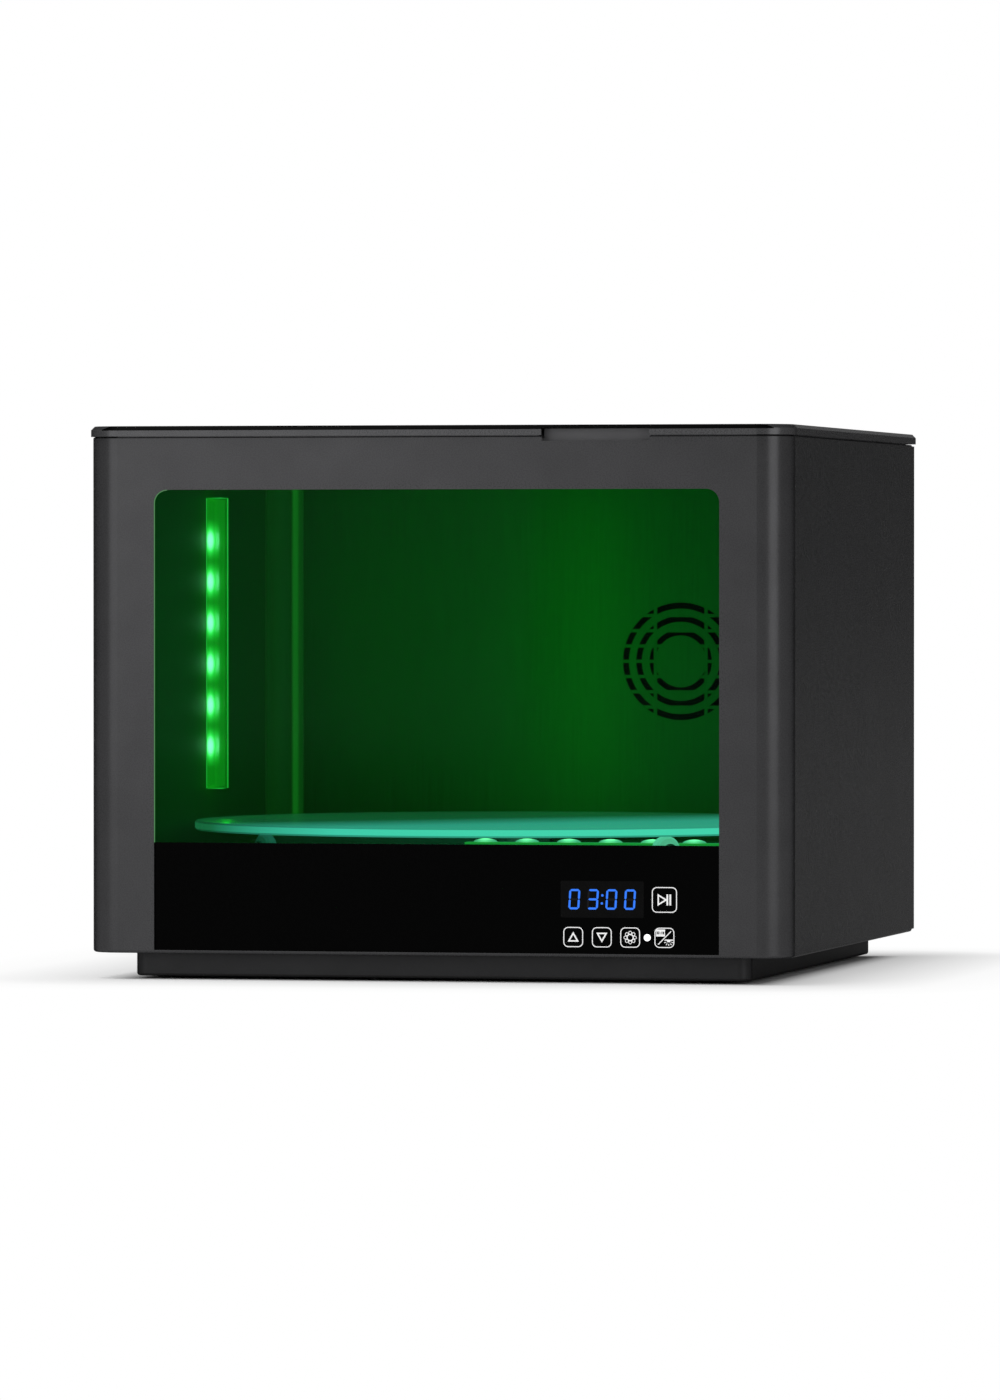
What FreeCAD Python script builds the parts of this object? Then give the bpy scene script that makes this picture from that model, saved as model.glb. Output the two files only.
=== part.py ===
import FreeCAD, Part
import math
import os

# A bench-top curing cabinet for resin prints. Millimetres, +Z up, front towards -Y, origin on the
# bench under the middle of the overall box. Depths named "behind the front" are measured from the
# front face of the bezel.

# Case
CASE_WIDTH = 485.0
CASE_DEPTH = 486.0
CASE_HEIGHT = 349.5
CASE_LIFT = 18.0            # lower edge of the case above the bench
CORNER_RADIUS = 22.0        # upright front corners
SHEET = 1.5                 # folded steel of the case
BEND_RADIUS = 2.0           # outside of the folds
CROWN_RADIUS = 1.0          # upper outside edge, under the lid
SEAM = 0.4                  # open seam between bezel and side panels
FIT = 0.2                   # clearance of parts that only have to go together
BEZEL_RETURN = 24.0         # how far the bezel goes round the side
FRONT_FLANGE = 14.0
SIDE_FLANGE = 14.0
RAIL_WIDTH = 17.0           # flange round the top mouth, each side
FLANGE_RELIEF = 8.0         # notch where two folds would meet
POST_LEG = 22.0
REAR_EDGE = 0.5             # rear panel stands in by this all round
REAR_CORNER = 4.0
REAR_GAP = 30.0             # air space between back liner and the rear face

# Plinth and feet
PLINTH_INSET_SIDE = 29.5
PLINTH_INSET_FRONT = 16.0
PLINTH_INSET_REAR = 15.0
PLINTH_WALL = 2.5
PLINTH_FLOOR = 4.0
PLINTH_CORNER = 8.5
PLINTH_EDGE = 2.0
FOOT_RADIUS = 11.0
FOOT_PROUD = 2.0
FOOT_SUNK = 2.0
FOOT_INSET = 30.0
FOOT_EDGE = 0.8

# Window opening and front panes
WINDOW_SIDE = 47.5          # bezel left beside the window
WINDOW_HEAD = 35.7          # bezel left above the window
WINDOW_SILL = 0.7           # strip left above the lower flange
WINDOW_CORNER = 9.0
PANE_THICKNESS = 3.0
PANE_LAP = 8.0
PANE_SPLIT = 93.1           # joint between fascia and window
SEAL_THICKNESS = 0.5
SEAL_SETBACK = 0.5
CLAMP_SHEET = 1.0
CLAMP_WIDTH = 16.0
CLAMP_FINGER = 7.0
CLAMP_MARGIN = 4.8          # from the clip's foot to the bend of the corner

# Lid
LID_GAP = 0.5
LID_HEIGHT = 7.0
LID_OVERHANG = 1.5
LID_PLATE = 2.0
LID_SKIRT = 2.0
LID_CHAMFER = 2.5
LID_REAR_CORNER = 4.0
LINER_SHEET = 1.2
GASKET_WIDTH = 4.2
GASKET_FRONT_LAP = 0.5
GASKET_SIDE_LAP = 3.0
GASKET_REAR_LAP = 6.0
GASKET_CORNER = 4.0
MAGNET_RADIUS = 4.0
MAGNET_HEIGHT = 3.0
MAGNET_X = -100.0
MAGNET_BEHIND = 4.9
SENSOR_WIDTH = 20.0
SENSOR_DEPTH = 7.0
SENSOR_TALL = 8.0

# Finger notch
NOTCH_LEFT = 73.7
NOTCH_RIGHT = 147.5
NOTCH_DEPTH = 3.3           # below the top of the bezel
POCKET_DEPTH = 7.5
POCKET_WALL = 1.0
POCKET_HEADROOM = 0.6

# Hinges
HINGE_X = 150.0
HINGE_WIDTH = 50.0
KNUCKLE_RADIUS = 3.5
KNUCKLE_MIDDLE = 16.4
KNUCKLE_PLAY = 0.3
PIN_RADIUS = 1.75
RUNNING_FIT = 0.05
LEAF_SHEET = 1.5
LEAF_DROP = 34.5
LEAF_REACH = 17.0
LEAF_SCREW_X = 16.0
LEAF_SCREW_RISE = 12.0      # above the lower edge of the leaf

# Chamber
FLOOR_TOP = 84.0
FLOOR_LIP = 8.0
FLOOR_FLANGE = 12.0
COVE_RADIUS = 14.0          # rolled strips in the back corners
COVE_FOOT = 9.0

# Turntable
TABLE_SHIFT = 1.35          # axis behind the middle of the chamber
DISC_CLEARANCE = 6.35       # from the rim to the nearest wall
DISC_THICKNESS = 6.5
DISC_UNDERSIDE = 97.0
DISC_EDGE = 1.2
HUB_FLANGE_RADIUS = 32.0
HUB_FLANGE = 4.0
HUB_BOSS_RADIUS = 11.0
HUB_BOSS = 7.0
SHAFT_RADIUS = 3.5
SHAFT_FLAT = 2.7            # axis to the flat of the D
SHAFT_IN_HUB = 9.0
SHAFT_IN_MOTOR = 18.0
SPINDLE_HOLE_RADIUS = 8.0

# Rollers under the disc
ROLLER_INSET = 21.0         # from the rim of the disc
ROLLER_RADIUS = 10.0
ROLLER_WIDTH = 8.0
ROLLER_EDGE = 1.5
ROLLER_GAP = 0.3            # between roller and disc
AXLE_RADIUS = 2.0
EAR_SHEET = 1.5
EAR_PLAY = 0.6
EAR_RADIUS = 5.0
EAR_FOOT = 9.0
SLOT_MARGIN = 2.0

# Gear motor
MOTOR_RADIUS = 25.0
MOTOR_HEIGHT = 38.0
MOTOR_BOSS_RADIUS = 6.0
MOTOR_BOSS = 4.0
MOTOR_SCREW_CIRCLE = 17.5
BRACKET_SHEET = 1.5
BRACKET_DROP = 14.0
BRACKET_PLATE = 64.0
BRACKET_DEPTH = 56.0
BRACKET_FOOT = 14.0

# Light bars
BAR_BEHIND = 272.0
BAR_WIDTH = 20.0
BAR_PROUD = 10.5
BAR_LENGTH = 205.0
BAR_CENTRE = 226.0
BAR_WALL = 1.5
LAMP_PITCH = 29.0
LAMP_COUNT = 6
LAMP_SIDE = 5.0
LAMP_HEIGHT = 2.0
BOARD_THICKNESS = 1.6
BOARD_MARGIN = 1.0
FLOOR_BAR_BEHIND = 140.0
FLOOR_BAR_START = -10.7
FLOOR_BAR_LENGTH = 205.0
FLOOR_BAR_WIDTH = 16.0
FLOOR_BAR_HEIGHT = 5.0
FLOOR_LAMP_COUNT = 7
FLOOR_LAMP_PITCH = 29.3

# Control panel parts
DISPLAY_WIDTH = 50.3
DISPLAY_TALL = 19.0
DISPLAY_DEPTH = 8.0
DISPLAY_X = 114.8
DISPLAY_Z = 56.8
START_KEY_X = 157.4
KEY_ROW_Z = 31.4
KEY_ROW_X = (95.0, 114.6, 134.0, 157.3)
KEY_PAD_RADIUS = 5.0
STATUS_X = 145.7
STATUS_RADIUS = 2.4
CONTROL_BOARD_LEFT = 79.8
CONTROL_BOARD_RIGHT = 173.8
CONTROL_BOARD_LOW = 23.0
CONTROL_BOARD_HIGH = 72.0
STANDOFF_RADIUS = 3.0
STANDOFF_INSET = 4.0

# Fan and grille
FAN_X = 77.0
FAN_Z = 212.0
FAN_SIZE = 92.0
FAN_DEPTH = 25.0
FAN_BORE_RADIUS = 44.0
FAN_HUB_RADIUS = 19.0
FAN_TIP_RADIUS = 42.5
FAN_BLADES = 7
FAN_HOLE_PITCH = 82.5
FAN_PLATE = 3.0
BLADE_THICKNESS = 1.4
BLADE_CAMBER = 2.0
BLADE_ROOT_CHORD = 17.0
BLADE_ROOT_ANGLE = 48.0
BLADE_TIP_CHORD = 22.0
BLADE_TIP_ANGLE = 30.0
GRILLE_RINGS = ((38.0, 42.4), (28.5, 32.8), (18.7, 23.0))
GRILLE_BAR = 2.3
GRILLE_BAR_PITCH = 11.0
GRILLE_BAR_COUNT = 7
GRILLE_POST_X = 18.6
VENT_SLOT = 4.0
VENT_PITCH = 8.0
VENT_COUNT = 9

# Mains parts at the rear
INLET_X = -170.0
SWITCH_X = -125.0
MAINS_Z = 52.0
INLET_WIDTH = 27.0
INLET_TALL = 20.0
INLET_DEPTH = 18.0
INLET_WALL = 1.8
INLET_CHAMFER = 4.0
PIN_BLADE = 2.0
PIN_BLADE_TALL = 4.0
PIN_SPACING = 7.0
PIN_RISE = 2.0
PIN_SETBACK = 3.0
FLANGE_PROUD = 2.0
FLANGE_LAP = 2.0
SWITCH_WIDTH = 13.0
SWITCH_TALL = 21.0
SWITCH_DEPTH = 16.0
SWITCH_WALL = 1.0
ROCKER_TILT = 8.0
ROCKER_PLAY = 0.4
ROCKER_PIN_RADIUS = 1.0
SUPPLY_WIDTH = 129.0
SUPPLY_DEPTH = 97.0
SUPPLY_TALL = 30.0
SUPPLY_LEFT = 60.0
TERMINAL_STEP = 18.0
DRIVER_WIDTH = 90.0
DRIVER_DEPTH = 70.0
DRIVER_LEFT = -175.0
DRIVER_LIFT = 6.0
CAN_RADIUS = 7.0
CAN_TALL = 20.0
ELECTRICS_BEHIND = 300.0
SCREW_RADIUS = 1.5
SCREW_HEAD_RADIUS = 2.8
SCREW_HEAD = 1.8
SCREW_LENGTH = 6.0

# Places that follow from the sizes above
HALF = CASE_WIDTH / 2
INNER_HALF = HALF - SHEET
CASE_TOP = CASE_LIFT + CASE_HEIGHT
LID_BOTTOM = CASE_TOP + LID_GAP
LID_TOP = LID_BOTTOM + LID_HEIGHT
LID_UNDER = LID_TOP - LID_PLATE
FRONT_Y = (LID_OVERHANG - CASE_DEPTH - 2 * KNUCKLE_RADIUS) / 2
REAR_Y = FRONT_Y + CASE_DEPTH
PANEL_REAR_Y = REAR_Y - SHEET
FLANGE_UNDER = CASE_TOP - SHEET
PAN_UNDER = CASE_LIFT + SHEET
PAN_TOP = PAN_UNDER + SHEET
MOUTH_HALF = HALF - RAIL_WIDTH
WINDOW_WIDTH = CASE_WIDTH - 2 * WINDOW_SIDE
WINDOW_TOP = CASE_TOP - WINDOW_HEAD
CLAMP_FOOT = WINDOW_SIDE - CORNER_RADIUS - PANE_LAP - FIT - CLAMP_MARGIN
SEAL_Y = FRONT_Y + SHEET
PANE_Y = SEAL_Y + SEAL_THICKNESS
PANE_BACK_Y = PANE_Y + PANE_THICKNESS
PANE_HALF = WINDOW_WIDTH / 2 + PANE_LAP
PANE_TOP = WINDOW_TOP + PANE_LAP
FLOOR_FRONT_Y = PANE_BACK_Y + KNUCKLE_PLAY
FLOOR_UNDER = FLOOR_TOP - SHEET
LINER_BACK_Y = REAR_Y - REAR_GAP
POST_BACK_Y = FRONT_Y + BEZEL_RETURN + POST_LEG
NOTCH_FLOOR = CASE_TOP - NOTCH_DEPTH
POCKET_BACK_Y = FRONT_Y + POCKET_DEPTH
HINGE_Y = REAR_Y + KNUCKLE_RADIUS
HINGE_Z = LID_UNDER - KNUCKLE_RADIUS
TABLE_Y = (FLOOR_FRONT_Y + LINER_BACK_Y) / 2 + TABLE_SHIFT
DISC_RADIUS = min(MOUTH_HALF, (LINER_BACK_Y - FLOOR_FRONT_Y) / 2) - DISC_CLEARANCE
ROLLER_CIRCLE = DISC_RADIUS - ROLLER_INSET
ROLLER_Z = DISC_UNDERSIDE - ROLLER_GAP - ROLLER_RADIUS
ROLLER_ANGLES = {"front_right": -45.0, "rear_right": 45.0, "rear_left": 135.0, "front_left": -135.0}
CONTROL_BOARD_Y = PANE_BACK_Y + DISPLAY_DEPTH
BAR_Y = FRONT_Y + BAR_BEHIND
MOTOR_TOP = FLOOR_UNDER - BRACKET_DROP - BRACKET_SHEET
SCREW_HOLE_RADIUS = SCREW_RADIUS + FIT
FAN_BACK_Y = PANEL_REAR_Y
FAN_FRONT_Y = FAN_BACK_Y - FAN_DEPTH

V = FreeCAD.Vector
AXIS_X = V(1, 0, 0)
AXIS_Y = V(0, 1, 0)
AXIS_Z = V(0, 0, 1)


def place(plane, level, u, v):
    """A point of a drawing plane (XY, XZ or YZ) lying at a level along the third axis."""
    if plane == "XY":
        return V(u, v, level)
    if plane == "XZ":
        return V(u, level, v)
    return V(level, u, v)


def outline(corners, plane, level):
    """A flat face whose corners, given as (u, v, radius), are rounded by arcs."""
    points = [place(plane, level, u, v) for u, v, radius in corners]
    radii = [radius for u, v, radius in corners]
    starts = []
    ends = []
    edges = []
    for index, corner in enumerate(points):
        before = (points[index - 1] - corner).normalize()
        after = (points[(index + 1) % len(points)] - corner).normalize()
        half_angle = before.getAngle(after) / 2
        if radii[index] <= 0:
            starts.append(corner)
            ends.append(corner)
            continue
        reach = radii[index] / math.tan(half_angle)
        middle = (before + after).normalize() * (radii[index] / math.sin(half_angle) - radii[index])
        starts.append(corner + before * reach)
        ends.append(corner + after * reach)
        edges.append(Part.Arc(starts[-1], corner + middle, ends[-1]).toShape())
    for index, end in enumerate(ends):
        start = starts[(index + 1) % len(starts)]
        if end.distanceToPoint(start) > 1e-6:
            edges.append(Part.makeLine(end, start))
    return Part.Face(Part.Wire(Part.__sortEdges__(edges)))


def prism(corners, plane, low, high):
    """A rounded outline drawn on a plane at low and carried along its normal to high."""
    return outline(corners, plane, low).extrude(place(plane, high - low, 0, 0))


def rectangle(u_low, u_high, v_low, v_high, radius=0.0):
    """Corners of a rectangle with one radius all round."""
    return [(u_low, v_low, radius), (u_high, v_low, radius), (u_high, v_high, radius),
            (u_low, v_high, radius)]


def box(x_low, x_high, y_low, y_high, z_low, z_high):
    """A square block between two corners."""
    return Part.makeBox(x_high - x_low, y_high - y_low, z_high - z_low, V(x_low, y_low, z_low))


def rod(radius, start, end):
    """A round bar between two points."""
    along = end - start
    return Part.makeCylinder(radius, along.Length, start, along)


def turned(profile, centre, axis):
    """A profile of (radius, height) points turned a full circle about an axis through a centre."""
    points = [V(radius, 0, height) for radius, height in profile]
    face = Part.Face(Part.makePolygon(points + points[:1]))
    solid = face.revolve(V(0, 0, 0), AXIS_Z, 360)
    solid.Placement = FreeCAD.Placement(centre, FreeCAD.Rotation(AXIS_Z, axis))
    return solid


def joined(solids):
    """One solid fused from touching or overlapping ones, with its split faces merged."""
    return solids[0].multiFuse(solids[1:]).removeSplitter()


def mirrored(shape):
    """The same piece on the other side of the middle plane."""
    return shape.mirror(V(0, 0, 0), AXIS_X)


def edges_at(shape, height, keep):
    """Edges that lie at one height and whose middle passes a test."""
    found = []
    for edge in shape.Edges:
        box_of = edge.BoundBox
        flat = abs(box_of.ZMin - height) < 1e-4 and abs(box_of.ZMax - height) < 1e-4
        if flat and keep(edge.CenterOfMass):
            found.append(edge)
    return found


def screw(tip, outward):
    """A round-headed screw whose head seats at tip and points outward."""
    head = turned([(0, 0), (SCREW_HEAD_RADIUS, 0), (SCREW_HEAD_RADIUS, SCREW_HEAD / 2),
                   (SCREW_HEAD_RADIUS * 0.7, SCREW_HEAD), (0, SCREW_HEAD)], tip, outward)
    shank = rod(SCREW_RADIUS, tip, tip - outward * SCREW_LENGTH)
    return joined([head, shank])


def bezel_plan(inset, back_y):
    """Plan of the bezel's outside, or of its inside when inset by the sheet: a U with round corners."""
    side = HALF - inset
    front = FRONT_Y + inset
    radius = CORNER_RADIUS - inset
    return [(-side, back_y, 0), (-side, front, radius), (side, front, radius), (side, back_y, 0)]


def window_corners(grow, sill, top):
    """The window opening: rounded at the top, square at the sill."""
    side = WINDOW_WIDTH / 2 + grow
    radius = WINDOW_CORNER + grow
    return [(-side, sill, 0), (side, sill, 0), (side, top + grow, radius), (-side, top + grow, radius)]


def front_bezel():
    """Folded sheet with round upright corners, flanges above and below, window and finger notch."""
    back_y = FRONT_Y + BEZEL_RETURN
    outside = prism(bezel_plan(0, back_y), "XY", CASE_LIFT, CASE_TOP)
    inside = prism(bezel_plan(SHEET, back_y + SHEET), "XY", PAN_UNDER, FLANGE_UNDER)
    shell = outside.cut(inside)
    low_edges = edges_at(shell, CASE_LIFT, lambda middle: middle.y < back_y - 1e-3)
    shell = shell.makeFillet(BEND_RADIUS, low_edges)
    high_edges = edges_at(shell, CASE_TOP, lambda middle: middle.y < back_y - 1e-3)
    shell = shell.makeFillet(CROWN_RADIUS, high_edges)
    mouth_y = FRONT_Y + FRONT_FLANGE
    mouth = box(-MOUTH_HALF, MOUTH_HALF, mouth_y, back_y + SHEET, FLANGE_UNDER - SHEET, CASE_TOP + SHEET)
    lower_half = HALF - SIDE_FLANGE
    lower = box(-lower_half, lower_half, mouth_y, back_y + SHEET, CASE_LIFT - SHEET, PAN_UNDER + SHEET)
    window = prism(window_corners(0, PAN_UNDER + WINDOW_SILL, WINDOW_TOP), "XZ", FRONT_Y - SHEET,
                   SEAL_Y + SHEET)
    notch = box(NOTCH_LEFT, NOTCH_RIGHT, FRONT_Y - SHEET, POCKET_BACK_Y + POCKET_WALL + FIT,
                NOTCH_FLOOR, CASE_TOP + SHEET)
    return shell.cut([mouth, lower, window, notch])


def finger_pocket():
    """Bent trough behind the notch: floor, two ends and a back that rises inside the lid."""
    low = NOTCH_FLOOR - POCKET_WALL
    back = POCKET_BACK_Y + POCKET_WALL
    tray = box(NOTCH_LEFT - POCKET_WALL, NOTCH_RIGHT + POCKET_WALL, SEAL_Y, back, low, FLANGE_UNDER)
    hollow = box(NOTCH_LEFT, NOTCH_RIGHT, SEAL_Y - FIT, POCKET_BACK_Y, NOTCH_FLOOR, FLANGE_UNDER + FIT)
    upright = box(NOTCH_LEFT + FIT, NOTCH_RIGHT - FIT, POCKET_BACK_Y, back,
                  NOTCH_FLOOR, LID_UNDER - POCKET_HEADROOM)
    return joined([tray.cut(hollow), upright])


def panel_screw_heights():
    """Heights of the screws up each rear flange."""
    low = CASE_LIFT + 2 * FLANGE_RELIEF + SCREW_HEAD_RADIUS
    high = CASE_TOP - 2 * FLANGE_RELIEF - SCREW_HEAD_RADIUS
    return [low + (high - low) * step / 3 for step in range(4)]


def panel_screw_places():
    """Where the rear panel is screwed to the side panels' rear flanges."""
    reach = HALF - SIDE_FLANGE / 2
    return [(side * reach, height) for side in (-1, 1) for height in panel_screw_heights()]


def right_side_panel():
    """Folded tray: web, top rail, bottom flange and rear flange, with reliefs where folds meet."""
    front = FRONT_Y + BEZEL_RETURN + SEAM
    fold_end = PANEL_REAR_Y - SHEET
    top_inner = MOUTH_HALF
    low_inner = HALF - SIDE_FLANGE
    section = [(HALF, CASE_LIFT, BEND_RADIUS), (HALF, CASE_TOP, CROWN_RADIUS), (top_inner, CASE_TOP, 0),
               (top_inner, FLANGE_UNDER, 0), (INNER_HALF, FLANGE_UNDER, 0), (INNER_HALF, PAN_UNDER, 0),
               (low_inner, PAN_UNDER, 0), (low_inner, CASE_LIFT, 0)]
    tray = prism(section, "XZ", front, fold_end - FLANGE_RELIEF)
    web = box(INNER_HALF, HALF, fold_end - FLANGE_RELIEF, PANEL_REAR_Y, CASE_LIFT + BEND_RADIUS,
              CASE_TOP - CROWN_RADIUS)
    rear = box(low_inner, HALF, fold_end, PANEL_REAR_Y, CASE_LIFT + FLANGE_RELIEF, CASE_TOP - FLANGE_RELIEF)
    panel = joined([tray, web, rear])
    reach = HALF - SIDE_FLANGE / 2
    holes = [rod(SCREW_HOLE_RADIUS, V(reach, fold_end - SHEET, height), V(reach, REAR_Y, height))
             for height in panel_screw_heights()]
    return panel.cut(holes)


def right_post():
    """Angle that bridges the seam inside: one leg on bezel and panel, one leg to the liner."""
    front = FRONT_Y + BEZEL_RETURN - SHEET
    outer = INNER_HALF
    inner = MOUTH_HALF + LINER_SHEET
    angle = [(outer, front, 0), (outer, POST_BACK_Y, BEND_RADIUS), (inner, POST_BACK_Y, 0),
             (inner, POST_BACK_Y - SHEET, 0), (outer - SHEET, POST_BACK_Y - SHEET, 0),
             (outer - SHEET, front, 0)]
    return prism(angle, "XY", PAN_TOP + FIT, FLANGE_UNDER - FIT)


def vent_slots(centre_x, centre_z, y_low, y_high):
    """Level slots with round ends whose lengths follow a circle the size of the fan."""
    slots = []
    for index in range(VENT_COUNT):
        offset = (index - (VENT_COUNT - 1) / 2) * VENT_PITCH
        half = math.sqrt(max(FAN_TIP_RADIUS ** 2 - offset ** 2, VENT_SLOT ** 2))
        middle = centre_z + offset
        corners = rectangle(centre_x - half, centre_x + half, middle - VENT_SLOT / 2,
                            middle + VENT_SLOT / 2,
                            VENT_SLOT * 0.49)
        slots.append(prism(corners, "XZ", y_low, y_high))
    return slots


def fan_hole_places():
    """Centres of the fan's four fixing holes."""
    half = FAN_HOLE_PITCH / 2
    return [(FAN_X + side * half, FAN_Z + rise * half) for side in (-1, 1) for rise in (-1, 1)]


def rear_panel():
    """Flat back plate with the fan vent, the two mains cut-outs and its screw holes."""
    half = HALF - REAR_EDGE
    plate = prism(rectangle(-half, half, CASE_LIFT + REAR_EDGE, CASE_TOP - REAR_EDGE, REAR_CORNER),
                  "XZ", PANEL_REAR_Y, REAR_Y)
    low_y = PANEL_REAR_Y - SHEET
    high_y = REAR_Y + SHEET
    cuts = vent_slots(FAN_X, FAN_Z, low_y, high_y)
    for x, width, tall in ((INLET_X, INLET_WIDTH, INLET_TALL), (SWITCH_X, SWITCH_WIDTH, SWITCH_TALL)):
        cuts.append(box(x - width / 2 - FIT, x + width / 2 + FIT, low_y, high_y,
                        MAINS_Z - tall / 2 - FIT, MAINS_Z + tall / 2 + FIT))
    for x, z in panel_screw_places() + fan_hole_places() + hinge_screw_places():
        cuts.append(rod(SCREW_HOLE_RADIUS, V(x, low_y, z), V(x, high_y, z)))
    return plate.cut(cuts)


def rear_rail():
    """Angle along the top of the back, between the side panels' rails."""
    half = MOUTH_HALF - FIT
    drop = FLANGE_UNDER - SIDE_FLANGE
    angle = [(LINER_BACK_Y, CASE_TOP, 0), (LINER_BACK_Y, FLANGE_UNDER, 0),
             (PANEL_REAR_Y - SHEET, FLANGE_UNDER, 0),
             (PANEL_REAR_Y - SHEET, drop, 0), (PANEL_REAR_Y, drop, 0),
             (PANEL_REAR_Y, CASE_TOP, BEND_RADIUS)]
    return prism(angle, "YZ", -half, half)


def rear_screws():
    """Like screws all over the back: round the rear panel, in the fan and in the hinge leaves."""
    flat = [screw(V(x, REAR_Y, z), AXIS_Y) for x, z in panel_screw_places() + fan_hole_places()]
    return flat + [screw(V(x, REAR_Y + LEAF_SHEET, z), AXIS_Y) for x, z in hinge_screw_places()]


def bottom_pan():
    """Flat pan on the lower flanges."""
    half = INNER_HALF - SHEET - FIT
    return box(-half, half, FRONT_Y + FRONT_FLANGE + FIT, PANEL_REAR_Y - SHEET - FIT, PAN_UNDER, PAN_TOP)


def foot_places():
    """Centres of the four feet."""
    side = HALF - PLINTH_INSET_SIDE - FOOT_INSET
    front = FRONT_Y + PLINTH_INSET_FRONT + FOOT_INSET
    rear = REAR_Y - PLINTH_INSET_REAR - FOOT_INSET
    return [(x, y) for x in (-side, side) for y in (front, rear)]


def base_plinth():
    """Open tray set back under the case, with a rounded lower edge and sockets for the feet."""
    side = HALF - PLINTH_INSET_SIDE
    front = FRONT_Y + PLINTH_INSET_FRONT
    rear = REAR_Y - PLINTH_INSET_REAR
    block = prism(rectangle(-side, side, front, rear, PLINTH_CORNER), "XY", FOOT_PROUD, PAN_UNDER)
    block = block.makeFillet(PLINTH_EDGE, edges_at(block, FOOT_PROUD, lambda middle: True))
    hollow = prism(rectangle(-side + PLINTH_WALL, side - PLINTH_WALL, front + PLINTH_WALL,
                             rear - PLINTH_WALL,
                             PLINTH_CORNER - PLINTH_WALL), "XY", FOOT_PROUD + PLINTH_FLOOR,
                             PAN_UNDER + SHEET)
    sockets = [rod(FOOT_RADIUS + FIT, V(x, y, 0), V(x, y, FOOT_PROUD + FOOT_SUNK)) for x,
               y in foot_places()]
    return block.cut([hollow] + sockets)


def rubber_feet():
    """Four round feet, half sunk in the plinth."""
    top = FOOT_PROUD + FOOT_SUNK
    profile = [(0, 0), (FOOT_RADIUS - FOOT_EDGE, 0), (FOOT_RADIUS, FOOT_EDGE), (FOOT_RADIUS, top), (0, top)]
    return [turned(profile, V(x, y, 0), AXIS_Z) for x, y in foot_places()]


def at_roller(shape, angle):
    """A shape drawn about the origin, with X pointing outward, set at one roller's place."""
    moved = shape.copy()
    moved.rotate(V(0, 0, 0), AXIS_Z, angle)
    along = math.radians(angle)
    moved.translate(V(ROLLER_CIRCLE * math.cos(along), TABLE_Y + ROLLER_CIRCLE * math.sin(along), 0))
    return moved


def chamber_floor():
    """Folded floor: narrow between the posts, wide behind them, lipped at the front, with roller slots."""
    wide = INNER_HALF - FIT
    narrow = MOUTH_HALF + LINER_SHEET - FIT
    step_y = POST_BACK_Y + FIT
    rear_y = PANEL_REAR_Y - SHEET - FIT
    plan = [(-narrow, FLOOR_FRONT_Y, 0), (narrow, FLOOR_FRONT_Y, 0), (narrow, step_y, 0), (wide, step_y, 0),
            (wide, rear_y, 0), (-wide, rear_y, 0), (-wide, step_y, 0), (-narrow, step_y, 0)]
    deck = prism(plan, "XY", FLOOR_UNDER, FLOOR_TOP)
    lip_half = MOUTH_HALF - FIT
    lip = box(-lip_half, lip_half, FLOOR_FRONT_Y, FLOOR_FRONT_Y + SHEET, FLOOR_TOP, FLOOR_TOP + FLOOR_LIP)
    folds = [box(low, low + SHEET, step_y, rear_y, FLOOR_UNDER - FLOOR_FLANGE, FLOOR_UNDER)
             for low in (-wide, wide - SHEET)]
    floor = joined([deck, lip] + folds)
    across = ROLLER_WIDTH / 2 + EAR_PLAY - FIT
    along = ROLLER_RADIUS + SLOT_MARGIN
    slot = box(-across, across, -along, along, FLOOR_UNDER - SHEET, FLOOR_TOP + SHEET)
    cuts = [at_roller(slot, angle) for angle in ROLLER_ANGLES.values()]
    cuts.append(rod(SPINDLE_HOLE_RADIUS, V(0, TABLE_Y, FLOOR_UNDER - SHEET),
                    V(0, TABLE_Y, FLOOR_TOP + SHEET)))
    return floor.cut(cuts)


def right_liner():
    """Bright side wall of the chamber."""
    return box(MOUTH_HALF, MOUTH_HALF + LINER_SHEET, FLOOR_FRONT_Y, LINER_BACK_Y, FLOOR_TOP, FLANGE_UNDER)


def grille_cuts(y_low, y_high):
    """Ring slots broken by level bars and by two uprights, as punched in the back liner."""
    bars = []
    for index in range(GRILLE_BAR_COUNT):
        middle = FAN_Z + (index - (GRILLE_BAR_COUNT - 1) / 2) * GRILLE_BAR_PITCH
        bars.append(box(FAN_X - FAN_SIZE, FAN_X + FAN_SIZE, y_low, y_high,
                        middle - GRILLE_BAR / 2, middle + GRILLE_BAR / 2))
    for side in (-1, 1):
        middle = FAN_X + side * GRILLE_POST_X
        bars.append(box(middle - GRILLE_BAR / 2, middle + GRILLE_BAR / 2, y_low, y_high,
                        FAN_Z - FAN_SIZE, FAN_Z + FAN_SIZE))
    start = V(FAN_X, y_low, FAN_Z)
    end = V(FAN_X, y_high, FAN_Z)
    return [rod(outer, start, end).cut(rod(inner, start, end)).cut(bars) for inner, outer in GRILLE_RINGS]


def back_liner():
    """Back wall of the chamber with the punched fan grille."""
    half = INNER_HALF - FIT
    wall = box(-half, half, LINER_BACK_Y, LINER_BACK_Y + LINER_SHEET, FLOOR_TOP, FLANGE_UNDER)
    return wall.cut(grille_cuts(LINER_BACK_Y - SHEET, LINER_BACK_Y + LINER_SHEET + SHEET))


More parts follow.
